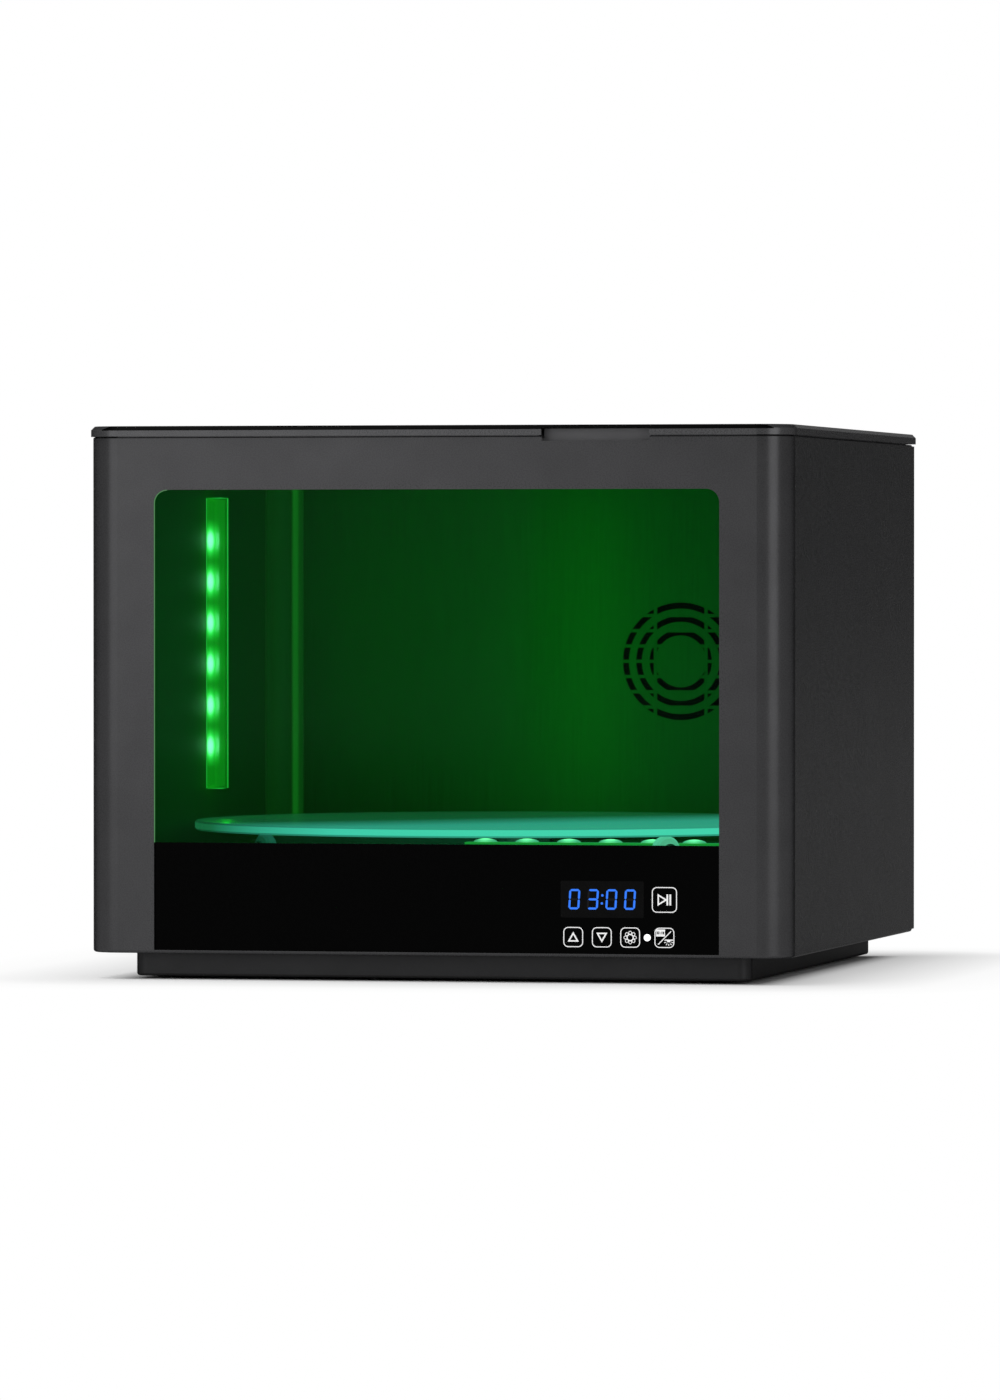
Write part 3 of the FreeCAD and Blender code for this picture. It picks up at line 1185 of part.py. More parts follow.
def power_supply():
    """Caged supply with a terminal step at one end."""
    front = FRONT_Y + ELECTRICS_BEHIND
    cage = prism(rectangle(SUPPLY_LEFT, SUPPLY_LEFT + SUPPLY_WIDTH, front, front + SUPPLY_DEPTH,
                           BEND_RADIUS), "XY",
                 PAN_TOP, PAN_TOP + SUPPLY_TALL)
    step = box(SUPPLY_LEFT - FIT, SUPPLY_LEFT + TERMINAL_STEP, front - FIT, front + SUPPLY_DEPTH + FIT,
               PAN_TOP + SUPPLY_TALL / 2, PAN_TOP + SUPPLY_TALL + FIT)
    return cage.cut(step)


def driver_board():
    """Driver board with its capacitors and heat sink, each a solid of its own."""
    front = FRONT_Y + ELECTRICS_BEHIND
    low = PAN_TOP + DRIVER_LIFT
    top = low + BOARD_THICKNESS
    board = box(DRIVER_LEFT, DRIVER_LEFT + DRIVER_WIDTH, front, front + DRIVER_DEPTH, low, top)
    middle = V(DRIVER_LEFT + DRIVER_WIDTH / 2, front + DRIVER_DEPTH / 2, top)
    cans = [rod(CAN_RADIUS, middle + AXIS_X * offset, middle + AXIS_X * offset + AXIS_Z * CAN_TALL)
            for offset in (-CAN_RADIUS * 3, 0)]
    sink_left = middle.x + CAN_RADIUS * 2
    fins = [(sink_left, middle.y - CAN_RADIUS, 0), (sink_left + CAN_RADIUS, middle.y - CAN_RADIUS, 0),
            (sink_left + CAN_RADIUS, middle.y + CAN_RADIUS, 0), (sink_left, middle.y + CAN_RADIUS, 0)]
    return [board] + cans + [prism(fins, "XY", top, top + CAN_TALL)]


PIECES = {
    "front_bezel": front_bezel, "finger_pocket": finger_pocket, "right_side_panel": right_side_panel,
    "left_side_panel": lambda: mirrored(right_side_panel()), "right_post": right_post,
    "left_post": lambda: mirrored(right_post()), "rear_panel": rear_panel, "rear_rail": rear_rail,
    "rear_screws": rear_screws, "bottom_pan": bottom_pan, "base_plinth": base_plinth,
    "rubber_feet": rubber_feet,
    "chamber_floor": chamber_floor, "right_liner": right_liner,
    "left_liner": lambda: mirrored(right_liner()),
    "back_liner": back_liner, "corner_strips": corner_strips, "window_pane": window_pane,
    "control_fascia": control_fascia,
    "window_seal": window_seal, "window_clamps": window_clamps, "control_board": control_board,
    "timer_display": timer_display, "touch_pads": touch_pads, "status_led": status_led,
    "board_standoffs": board_standoffs, "lid_panel": lid_panel, "lid_gasket": lid_gasket,
    "lid_liner": lid_liner,
    "lid_magnet": lid_magnet, "lid_sensor": lid_sensor, "hinge_body_leaves": hinge_body_leaves,
    "hinge_lid_leaves": hinge_lid_leaves, "hinge_pins": hinge_pins,
    "side_led_boards": side_led_boards, "side_led_chips": side_led_chips,
    "right_led_cover": right_led_cover, "left_led_cover": lambda: mirrored(right_led_cover()),
    "floor_led_channels": floor_led_channels, "floor_led_boards": floor_led_boards,
    "floor_led_chips": floor_led_chips, "turntable_disc": turntable_disc, "turntable_hub": turntable_hub,
    "drive_shaft": drive_shaft, "gear_motor": gear_motor, "motor_bracket": motor_bracket,
    "motor_screws": motor_screws, "roller_brackets": roller_brackets, "roller_axles": roller_axles,
    "fan_frame": fan_frame, "fan_rotor": fan_rotor, "power_inlet": power_inlet,
    "switch_body": switch_body, "switch_rocker": switch_rocker, "power_supply": power_supply,
    "driver_board": driver_board,
}


def main():
    """Build every piece and write it under its own name."""
    os.makedirs("parts", exist_ok=True)
    pieces = dict(PIECES)
    for corner, angle in ROLLER_ANGLES.items():
        pieces["roller_" + corner] = lambda angle=angle: roller(angle)
    for name, build in pieces.items():
        made = build()
        shape = Part.makeCompound(made) if isinstance(made, list) else made
        shape.exportStep("parts/" + name + ".step")
        print(name, len(shape.Solids), round(shape.Volume), shape.isValid())


main()
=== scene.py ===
import math

import bmesh
import bpy
import numpy as np
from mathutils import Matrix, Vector


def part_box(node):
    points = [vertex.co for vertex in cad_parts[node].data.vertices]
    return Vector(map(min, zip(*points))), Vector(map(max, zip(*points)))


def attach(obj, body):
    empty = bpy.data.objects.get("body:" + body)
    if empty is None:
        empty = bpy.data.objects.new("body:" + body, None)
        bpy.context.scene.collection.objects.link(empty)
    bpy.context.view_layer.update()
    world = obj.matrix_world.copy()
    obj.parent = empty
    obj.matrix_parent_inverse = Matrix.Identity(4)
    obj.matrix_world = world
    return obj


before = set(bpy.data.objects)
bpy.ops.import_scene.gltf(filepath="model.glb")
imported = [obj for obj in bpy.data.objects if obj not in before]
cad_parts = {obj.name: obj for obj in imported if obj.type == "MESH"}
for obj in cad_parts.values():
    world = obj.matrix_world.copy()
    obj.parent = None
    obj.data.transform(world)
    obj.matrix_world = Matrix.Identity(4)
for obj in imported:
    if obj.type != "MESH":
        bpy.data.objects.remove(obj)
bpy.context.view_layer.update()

bl_info = {
    "name": "Curing Cabinet",
    "version": (1, 0, 0),
    "blender": (4, 5, 0),
    "location": "View3D > Sidebar > Cabinet",
    "description": "Dresses the curing cabinet's frame with finishes, panel print and studio light",
    "category": "Object",
}

MM = 0.001
CABINET = "cabinet"

# Sizes of the frame that the new pieces meet
CORNER_RADIUS = 22 * MM
NOTCH_LEFT = 72 * MM
NOTCH_RIGHT = 149 * MM
LID_CHAMFER = 2.5 * MM
PANE_LAP = 8 * MM
WINDOW_CORNER = 9 * MM
COVE_RADIUS = 14 * MM
COVE_FOOT = 9 * MM
PAD_RADIUS = 5.0 * MM
LAMP_SIDE = 5 * MM
LAMP_TALL = 2 * MM
SIDE_LAMP_COUNT = 6
FLOOR_LAMP_PITCH = 29.3 * MM
FLOOR_LAMP_COUNT = 7

# Bead between case and lid: both its faces behind the case's own, its back end and the gap above it
BEAD_OUTER = 0.15 * MM
BEAD_INNER = 0.9 * MM
BEAD_BACK = 200 * MM
BEAD_GAP = 0.05 * MM

# Painted highlight along the window's lit edge: half its width, and its two faces behind the case's front
EDGE_HALF = 0.25 * MM
EDGE_FRONT = 0.3 * MM
EDGE_BACK = 1.2 * MM

# Painted glow of a side lamp on its cover, lens and painted halo of a floor lamp, and painted glow along the
# edge of a cover
GLOW_TALL = 8.5 * MM
GLOW_WIDE = 3.4 * MM
GLOW_INSET = 1.2 * MM
HAZE_WIDE = 7 * MM
LENS_REACH = (8.5 * MM, 5 * MM, 2.5 * MM)
LENS_HALO = 4 * MM
COVER_EDGE_RADIUS = 0.35 * MM

# Filter disc before the fan: its radius, and its two faces before the fan's frame
FILTER_RADIUS = 45 * MM
FILTER_FRONT = 2 * MM
FILTER_BACK = 0.6 * MM

# Depth of the grain and of the streaks in the finishes
GRAIN_DEPTH = 0.03 * MM
STREAK_DEPTH = 0.02 * MM


class CabinetLooks(bpy.types.PropertyGroup):
    """Sizes and colours that a user would change."""

    paint: bpy.props.FloatVectorProperty(
        name="Case paint", description="Graphite powder coat of the case and lid",
        default=(0.058, 0.058, 0.06), subtype="COLOR", size=3, min=0, max=1)
    plinth: bpy.props.FloatVectorProperty(
        name="Plinth", description="Moulded plinth under the case",
        default=(0.034, 0.034, 0.035), subtype="COLOR", size=3, min=0, max=1)
    window_tint: bpy.props.FloatVectorProperty(
        name="Window tint", description="Light that each face of the green window lets through",
        default=(0.30, 0.75, 0.50), subtype="COLOR", size=3, min=0, max=1)
    lamp_light: bpy.props.FloatVectorProperty(
        name="Lamp light", description="Colour of the light inside the chamber",
        default=(0.06, 1.0, 0.03), subtype="COLOR", size=3, min=0, max=1)
    digit_light: bpy.props.FloatVectorProperty(
        name="Digits", description="Colour of the lit timer digits",
        default=(0.008, 0.19, 1.0), subtype="COLOR", size=3, min=0, max=1)
    ink: bpy.props.FloatVectorProperty(
        name="Panel print", description="Pale print of the touch keys",
        default=(0.78, 0.78, 0.78), subtype="COLOR", size=3, min=0, max=1)
    grain: bpy.props.FloatProperty(
        name="Paint grain", description="Size of the powder coat's grain",
        default=0.0009, unit="LENGTH", min=0.0001, max=0.01)
    stroke: bpy.props.FloatProperty(
        name="Print stroke", description="Width of the printed lines",
        default=0.0006, unit="LENGTH", min=0.0002, max=0.003)
    timer: bpy.props.StringProperty(
        name="Timer", description="Digits shown on the timer", default="03:00", subtype="NONE")


def looks():
    """The settings held by the scene."""
    return bpy.context.scene.cabinet_looks


def finish_named(name):
    """A new material and its Principled shader."""
    material = bpy.data.materials.new(name)
    material.use_nodes = True
    return material, material.node_tree.nodes["Principled BSDF"]


def add_node(material, kind, **values):
    """A node of a kind, with its plain fields and its input sockets set by name."""
    node = material.node_tree.nodes.new(kind)
    for key, value in values.items():
        if key in node.inputs:
            node.inputs[key].default_value = value
        else:
            setattr(node, key, value)
    return node


def link(material, source, target):
    """Join an output socket to an input socket."""
    material.node_tree.links.new(source, target)


def object_noise(material, scale, detail=2.0, stretch=(1.0, 1.0, 1.0)):
    """Noise on object coordinates, stretched along the axes; scale counts grains per metre."""
    place = add_node(material, "ShaderNodeTexCoord")
    mapping = add_node(material, "ShaderNodeMapping")
    mapping.inputs["Scale"].default_value = stretch
    noise = add_node(material, "ShaderNodeTexNoise", Scale=scale, Detail=detail)
    link(material, place.outputs["Object"], mapping.inputs["Vector"])
    link(material, mapping.outputs["Vector"], noise.inputs["Vector"])
    return noise.outputs["Fac"]


def ramp(material, source, stops):
    """A colour ramp through (place, colour) stops."""
    node = add_node(material, "ShaderNodeValToRGB")
    band = node.color_ramp
    while len(band.elements) < len(stops):
        band.elements.new(0.5)
    for element, (place, colour) in zip(band.elements, stops):
        element.position = place
        element.color = tuple(colour) + (1,)
    link(material, source, node.inputs["Fac"])
    return node.outputs["Color"]


def grey(value):
    """A grey colour."""
    return (value, value, value)


def feed(material, field, source, *stops):
    """Send a source through a colour ramp into one field of the Principled shader."""
    shader = material.node_tree.nodes["Principled BSDF"]
    link(material, ramp(material, source, stops), shader.inputs[field])


def bump(material, shader, height, strength, distance):
    """Push a height into the shader's normal."""
    node = add_node(material, "ShaderNodeBump", Strength=strength, Distance=distance)
    link(material, height, node.inputs["Height"])
    link(material, node.outputs["Normal"], shader.inputs["Normal"])


def blend(material, share, first, second):
    """Mix two shaders by a share and show the mix."""
    mix = add_node(material, "ShaderNodeMixShader")
    link(material, share, mix.inputs["Fac"])
    link(material, first, mix.inputs[1])
    link(material, second, mix.inputs[2])
    link(material, mix.outputs["Shader"], material.node_tree.nodes["Material Output"].inputs["Surface"])


def scaled(colour, factor):
    """A colour made lighter or darker."""
    return tuple(min(1.0, part * factor) for part in colour)


def formula(material, operation, *terms):
    """One arithmetic step on sockets or plain numbers."""
    node = add_node(material, "ShaderNodeMath", operation=operation)
    for socket, term in zip(node.inputs, terms):
        if isinstance(term, bpy.types.NodeSocket):
            link(material, term, socket)
        else:
            socket.default_value = term
    return node.outputs["Value"]


def place_on(material):
    """The three object coordinates as separate sockets."""
    place = add_node(material, "ShaderNodeTexCoord")
    parts = add_node(material, "ShaderNodeSeparateXYZ")
    link(material, place.outputs["Object"], parts.inputs["Vector"])
    return parts.outputs["X"], parts.outputs["Y"], parts.outputs["Z"]


def painted(name, colour, roughness, lustre, edge=0.27):
    """Powder coat with a metallic lustre: a fine orange-peel grain, slight mottling of colour and gloss."""
    material, shader = finish_named(name)
    shader.inputs["Metallic"].default_value = lustre
    shader.inputs["Specular IOR Level"].default_value = 0.0
    shader.inputs["Specular Tint"].default_value = grey(edge) + (1,)
    mottle = object_noise(material, 35.0, 3.0)
    feed(material, "Base Color", mottle, (0.3, scaled(colour, 0.95)), (0.7, scaled(colour, 1.05)))
    grain = object_noise(material, 1.0 / looks().grain, 2.0)
    feed(material, "Roughness", grain, (0.25, grey(roughness - 0.05)), (0.75, grey(roughness + 0.05)))
    bump(material, shader, grain, 0.4, GRAIN_DEPTH)
    return material


def moulded(name, colour, roughness, specular=0.4):
    """Moulded plastic: faint flow marks in colour and a fine spark-eroded grain."""
    material, shader = finish_named(name)
    shader.inputs["Specular IOR Level"].default_value = specular
    flow = object_noise(material, 60.0, 3.0)
    feed(material, "Base Color", flow, (0.3, scaled(colour, 0.9)), (0.7, scaled(colour, 1.1)))
    grain = object_noise(material, 1800.0, 2.0)
    feed(material, "Roughness", grain, (0.2, grey(roughness - 0.07)), (0.8, grey(roughness + 0.07)))
    bump(material, shader, grain, 0.35, GRAIN_DEPTH)
    return material


def brushed(name, colour, roughness, stretch):
    """Brushed or rolled metal: streaks along one axis in colour, gloss and height."""
    material, shader = finish_named(name)
    shader.inputs["Metallic"].default_value = 1.0
    streak = object_noise(material, 900.0, 3.0, stretch)
    feed(material, "Base Color", streak, (0.3, scaled(colour, 0.9)), (0.7, scaled(colour, 1.08)))
    feed(material, "Roughness", streak, (0.2, grey(roughness - 0.08)), (0.8, grey(roughness + 0.08)))
    bump(material, shader, streak, 0.2, STREAK_DEPTH)
    return material


def streaked(name, dark, pale, smooth, rough):
    """Rolled reflector sheet: upright streaks between two colours, in gloss and in height."""
    material, shader = finish_named(name)
    streak = object_noise(material, 700.0, 3.0, (1, 1, 0.03))
    feed(material, "Base Color", streak, (0.3, dark), (0.7, pale))
    feed(material, "Roughness", streak, (0.2, grey(smooth)), (0.8, grey(rough)))
    bump(material, shader, streak, 0.15, STREAK_DEPTH)
    return material, shader


def glowing(name, colour, strength, body=(0.8, 0.8, 0.8)):
    """A glowing surface with one colour, faintly uneven: a lamp's lens, and also the painted glow on parts
    that are no lamps.
    """
    material, shader = finish_named(name)
    shader.inputs["Base Color"].default_value = tuple(body) + (1,)
    shader.inputs["Roughness"].default_value = 0.35
    shader.inputs["Emission Strength"].default_value = strength
    cloud = object_noise(material, 400.0, 1.0)
    feed(material, "Emission Color", cloud, (0.2, scaled(colour, 0.93)), (0.8, colour))
    return material


def see_through(name, tint, gloss, roughness):
    """A clear tinted sheet: straight light takes the tint at each face, and a thin gloss lies over it."""
    material, shader = finish_named(name)
    shader.inputs["Base Color"].default_value = scaled(tint, 0.12) + (1,)
    smear = object_noise(material, 45.0, 3.0)
    feed(material, "Roughness", smear, (0.3, grey(roughness * 0.7)), (0.7, grey(roughness * 1.4)))
    clear = add_node(material, "ShaderNodeBsdfTransparent", Color=tuple(tint) + (1,))
    edge = add_node(material, "ShaderNodeFresnel", IOR=1.3)
    share = formula(material, "MULTIPLY_ADD", edge.outputs["Fac"], gloss, 0.01)
    blend(material, share, clear.outputs["BSDF"], shader.outputs["BSDF"])
    return material


def dress(material, *names):
    """Give CAD nodes a finish."""
    for name in names:
        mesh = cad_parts[name].data
        mesh.materials.clear()
        mesh.materials.append(material)


def piece(name, vertices, faces, material, body, slot, smooth=False):
    """A new mesh object that rides a body; the slot that it is given is not used."""
    mesh = bpy.data.meshes.new(name)
    mesh.from_pydata(np.asarray(vertices).reshape(-1, 3).tolist(), [], [list(face) for face in faces])
    mesh.validate()
    mesh.polygons.foreach_set("use_smooth", np.full(len(mesh.polygons), smooth))
    mesh.materials.append(material)
    made = bpy.data.objects.new(name, mesh)
    bpy.context.scene.collection.objects.link(made)
    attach(made, body)
    return made


def grid_faces(rows, columns, close_rows, close_columns):
    """Quads of a grid of points, joined end to start where it closes."""
    last_row = rows if close_rows else rows - 1
    last_column = columns if close_columns else columns - 1
    row, column = np.meshgrid(np.arange(last_row), np.arange(last_column), indexing="ij")
    up = (row + 1) % rows
    right = (column + 1) % columns
    corners = [row * columns + column, row * columns + right, up * columns + right, up * columns + column]
    return np.stack(corners, axis=-1).reshape(-1, 4)


def ribbon(path, widths, front, back, closed):
    """A flat band: a rectangular section, one width at each point, carried along a path of (x, z) points.

    Each point moves to both sides along the mitre of its two runs; the band lies between two depths.
    """
    path = np.asarray(path, float)
    widths = np.broadcast_to(np.asarray(widths, float), len(path))
    before = np.roll(path, 1, axis=0)
    after = np.roll(path, -1, axis=0)
    if not closed:
        before[0] = 2 * path[0] - path[1]
        after[-1] = 2 * path[-1] - path[-2]
    first = path - before
    second = after - path
    first /= np.linalg.norm(first, axis=1, keepdims=True)
    second /= np.linalg.norm(second, axis=1, keepdims=True)
    normals = np.stack([-(first + second)[:, 1], (first + second)[:, 0]], axis=1)
    normals /= np.linalg.norm(normals, axis=1, keepdims=True)
    stretch = 1 / np.clip(-normals[:, 0] * first[:, 1] + normals[:, 1] * first[:, 0], 0.4, 1)
    shift = normals * (widths * stretch / 2)[:, None]
    rows = []
    for side, depth in ((1, front), (-1, front), (-1, back), (1, back)):
        edge = path + side * shift
        rows.append(np.stack([edge[:, 0], np.full(len(path), depth), edge[:, 1]], axis=1))
    vertices = np.stack(rows, axis=1)
    faces = grid_faces(len(path), 4, closed, True).tolist()
    if not closed:
        last = 4 * (len(path) - 1)
        faces += [[0, 1, 2, 3], [last + 3, last + 2, last + 1, last]]
    return vertices.reshape(-1, 3), faces


def gathered(parts):
    """Several meshes as one list of vertices and faces."""
    vertices = []
    faces = []
    start = 0
    for points, corners in parts:
        vertices.append(np.asarray(points).reshape(-1, 3))
        faces += [[index + start for index in face] for face in corners]
        start += len(vertices[-1])
    return np.concatenate(vertices), faces


def slab(low, high):
    """A block between two corners."""
    pick = np.array([(0, 0, 0), (1, 0, 0), (1, 1, 0), (0, 1, 0),
                     (0, 0, 1), (1, 0, 1), (1, 1, 1), (0, 1, 1)])
    points = np.where(pick, np.array(high), np.array(low))
    return points, [(3, 2, 1, 0), (4, 5, 6, 7), (0, 1, 5, 4), (1, 2, 6, 5), (2, 3, 7, 6), (3, 0, 4, 7)]


def mend_normals(made):
    """Turn a closed shape's faces outward."""
    work = bmesh.new()
    work.from_mesh(made.data)
    bmesh.ops.recalc_face_normals(work, faces=work.faces)
    work.to_mesh(made.data)
    work.free()


def arc(centre, radius, start, end, steps):
    """Points on an arc, angles in degrees from +x towards +z."""
    angle = np.radians(np.linspace(start, end, steps))
    return np.stack([centre[0] + radius * np.cos(angle), centre[1] + radius * np.sin(angle)], axis=1)


def rounded_square(centre, width, tall, radius, steps=7):
    """A closed path round a rectangle with rounded corners: a quarter arc at each corner."""
    across = width / 2 - radius
    rise = tall / 2 - radius
    corners = ((1, 1, 0), (-1, 1, 90), (-1, -1, 180), (1, -1, 270))
    return np.concatenate([arc((centre[0] + right * across, centre[1] + up * rise), radius, start, start + 90,
                               steps) for right, up, start in corners])


def disc_mesh(centre, radius, front, back, steps=32):
    """A round pellet: two rings and two centres."""
    ring = arc(centre, radius, 0, 360 - 360 / steps, steps)
    points = np.concatenate([np.insert(ring, 1, front, axis=1), np.insert(ring, 1, back, axis=1),
                             [[centre[0], front, centre[1]], [centre[0], back, centre[1]]]])
    index = np.arange(steps)
    nxt = (index + 1) % steps
    side = np.stack([index, nxt, nxt + steps, index + steps], axis=1).tolist()
    caps = np.stack([index, nxt, np.full(steps, 2 * steps)], axis=1).tolist()
    caps += np.stack([nxt + steps, index + steps, np.full(steps, 2 * steps + 1)], axis=1).tolist()
    return points, side + caps


# Print and timer on the touch panel, placed by the parts behind it
FASCIA_LOW, FASCIA_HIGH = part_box("control_fascia")
PRINT_BACK = FASCIA_LOW[1] - 0.01 * MM
PRINT_FRONT = FASCIA_LOW[1] - 0.12 * MM
DISPLAY_LOW, DISPLAY_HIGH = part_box("timer_display")
DISPLAY_CENTRE = ((DISPLAY_LOW[0] + DISPLAY_HIGH[0]) / 2, (DISPLAY_LOW[2] + DISPLAY_HIGH[2]) / 2)
DISPLAY_WIDE = 56.9 * MM
DISPLAY_TALL = 24.6 * MM
DISPLAY_CORNER = 1.0 * MM
DISPLAY_THICK = 0.02 * MM
PADS_LOW, PADS_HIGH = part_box("touch_pads")
STATUS_LOW, STATUS_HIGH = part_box("status_led")
STATUS_CENTRE = ((STATUS_LOW[0] + STATUS_HIGH[0]) / 2, (STATUS_LOW[2] + STATUS_HIGH[2]) / 2)
STATUS_RADIUS = 2.35 * MM
KEY_ROW_Z = STATUS_CENTRE[1]
KEY_FIRST_X = PADS_LOW[0] + PAD_RADIUS
KEY_LAST_X = PADS_HIGH[0] - PAD_RADIUS
KEY_X = (KEY_FIRST_X, KEY_FIRST_X + 19.6 * MM, KEY_FIRST_X + 39.0 * MM, KEY_LAST_X)
KEY_SIDE = 12.9 * MM
START_KEY = (KEY_LAST_X, DISPLAY_CENTRE[1])
START_SIDE = 16.5 * MM
KEY_CORNER = 3.0 * MM
DIGIT_PITCH = 12.7 * MM
DIGIT_TALL = 12.3 * MM
DIGIT_WIDE = 6.2 * MM
DIGIT_STROKE = 1.4 * MM
DIGIT_SLANT = 0.06
DIGIT_SHIFT = (-1.5, -0.5, 0.5, 1.5)
BAR_GAP = 0.12 * MM
BAR_TIP = 0.2 * MM
COLON_RISE = 2.7 * MM
COLON_RADIUS = 0.85 * MM
SEGMENTS = {"0": "abcdef", "1": "bc", "2": "abged", "3": "abgcd", "4": "fgbc", "5": "afgcd", "6": "afgedc",
            "7": "abc", "8": "abcdefg", "9": "abcdfg"}


def segment_ends():
    """Ends of the seven bars in a digit's own cell, from its middle."""
    half = DIGIT_WIDE / 2
    top = DIGIT_TALL / 2
    return {"a": ((-half, top), (half, top)), "b": ((half, top), (half, 0)),
            "c": ((half, 0), (half, -top)), "d": ((half, -top), (-half, -top)),
            "e": ((-half, -top), (-half, 0)), "f": ((-half, 0), (-half, top)),
            "g": ((-half, 0), (half, 0))}


def segment_bar(start, end, centre):
    """One bar: a band with pointed ends, slanted with the digit by a shift of x in proportion to z."""
    start = np.array(start)
    end = np.array(end)
    along = (end - start) / np.linalg.norm(end - start)
    point = BAR_GAP + DIGIT_STROKE / 2
    path = np.array([start + along * BAR_GAP, start + along * point,
                     end - along * point, end - along * BAR_GAP])
    path[:, 0] += path[:, 1] * DIGIT_SLANT
    widths = [BAR_TIP, DIGIT_STROKE, DIGIT_STROKE, BAR_TIP]
    return ribbon(path + np.array(centre), widths, PRINT_FRONT, PRINT_BACK, False)


def timer_digits(text):
    """Lit and unlit bars of the timer, and its colon."""
    ends = segment_ends()
    lit = []
    dark = []
    for digit, shift in zip(text.replace(":", ""), DIGIT_SHIFT):
        centre = (DISPLAY_CENTRE[0] + shift * DIGIT_PITCH, DISPLAY_CENTRE[1])
        for name, (start, end) in ends.items():
            (lit if name in SEGMENTS[digit] else dark).append(segment_bar(start, end, centre))
    for rise in (-COLON_RISE, COLON_RISE):
        place = (DISPLAY_CENTRE[0] + rise * DIGIT_SLANT, DISPLAY_CENTRE[1] + rise)
        lit.append(disc_mesh(place, COLON_RADIUS, PRINT_FRONT, PRINT_BACK, 20))
    return gathered(lit), gathered(dark)


def triangle(centre, width, tall):
    """Three corners of a triangle that points up, or down when tall is negative."""
    x, z = centre
    return [(x - width / 2, z - tall / 2), (x + width / 2, z - tall / 2), (x, z + tall / 2)]


def closed_line(path, width):
    """A printed line that runs back to its start."""
    return ribbon(path, width, PRINT_FRONT, PRINT_BACK, True)


def open_line(path, width):
    """A printed line with two ends."""
    return ribbon(path, width, PRINT_FRONT, PRINT_BACK, False)


def start_mark(stroke):
    """The start key's mark: a triangle that points right, and two upright bars."""
    x, z = START_KEY
    back, tip, half = 4.2 * MM, 1.1 * MM, 3.2 * MM
    bar_half = 3.7 * MM
    arrow = [(x - back, z - half), (x + tip, z), (x - back, z + half)]
    bars = [[(x + shift, z - bar_half), (x + shift, z + bar_half)] for shift in (2.0 * MM, 4.0 * MM)]
    return [closed_line(arrow, stroke * 1.6)] + [open_line(bar, stroke * 1.9) for bar in bars]


def gear_mark(fine):
    """The settings key's mark: a ring of small arcs round a larger one."""
    centre = (KEY_X[2], KEY_ROW_Z)
    reach, tooth, hole = 3.2 * MM, 1.05 * MM, 2.0 * MM
    teeth = [arc(arc(centre, reach, angle, angle, 1)[0], tooth, 0, 330, 12) for angle in np.arange(8) * 45]
    ring = closed_line(arc(centre, hole, 0, 345, 24), fine)
    return [closed_line(path, fine * 0.8) for path in teeth] + [ring]


def heat_and_lamp_mark(fine):
    """The last key's mark: a slanted line with a heater above it and a shining lamp below."""
    x, z = KEY_X[3], KEY_ROW_Z
    marks = [open_line([(x - 4.3 * MM, z - 4.5 * MM), (x + 4.6 * MM, z + 4.4 * MM)], fine * 1.2)]
    left, right, plate = x - 5.6 * MM, x + 0.4 * MM, 1.4 * MM
    for rise in (z + 4.9 * MM, z + 1.6 * MM):
        marks.append(open_line([(left, rise), (right, rise)], plate))
    foot, head, bar = z + 2.3 * MM, z + 4.3 * MM, 0.55 * MM
    for shift in (-5.2, -3.6, -2.6, -1.6, 0.0):
        marks.append(open_line([(x + shift * MM, foot), (x + shift * MM, head)], bar))
    lamp = (x + 3.0 * MM, z - 2.2 * MM)
    lamp_x, lamp_z = lamp
    brim, brim_half, stem = lamp_z + 0.7 * MM, 2.9 * MM, 2.2 * MM
    marks.append(open_line([(lamp_x - brim_half, brim), (lamp_x + brim_half, brim)], fine * 1.5))
    marks.append(open_line([(lamp_x, lamp_z + 0.4 * MM), (lamp_x, lamp_z - 0.7 * MM)], stem))
    for angle in (-160, -125, -90, -55, -20):
        ray = [arc(lamp, reach, angle, angle, 1)[0] for reach in (1.9 * MM, 3.2 * MM)]
        marks.append(open_line(ray, fine))
    return marks


def key_print():
    """All printed keys: their frames, two arrows, and the marks of the other three."""
    stroke = looks().stroke
    fine = stroke * 0.85
    wide, tall = 6.0 * MM, 5.2 * MM
    frames = [rounded_square((x, KEY_ROW_Z), KEY_SIDE, KEY_SIDE, KEY_CORNER) for x in KEY_X]
    frames.append(rounded_square(START_KEY, START_SIDE, START_SIDE, KEY_CORNER))
    arrows = [triangle((KEY_X[0], KEY_ROW_Z), wide, tall), triangle((KEY_X[1], KEY_ROW_Z), wide, -tall)]
    lines = [closed_line(path, stroke) for path in frames]
    lines += [closed_line(path, stroke * 1.6) for path in arrows]
    return gathered(lines + start_mark(stroke) + gear_mark(fine) + heat_and_lamp_mark(fine))


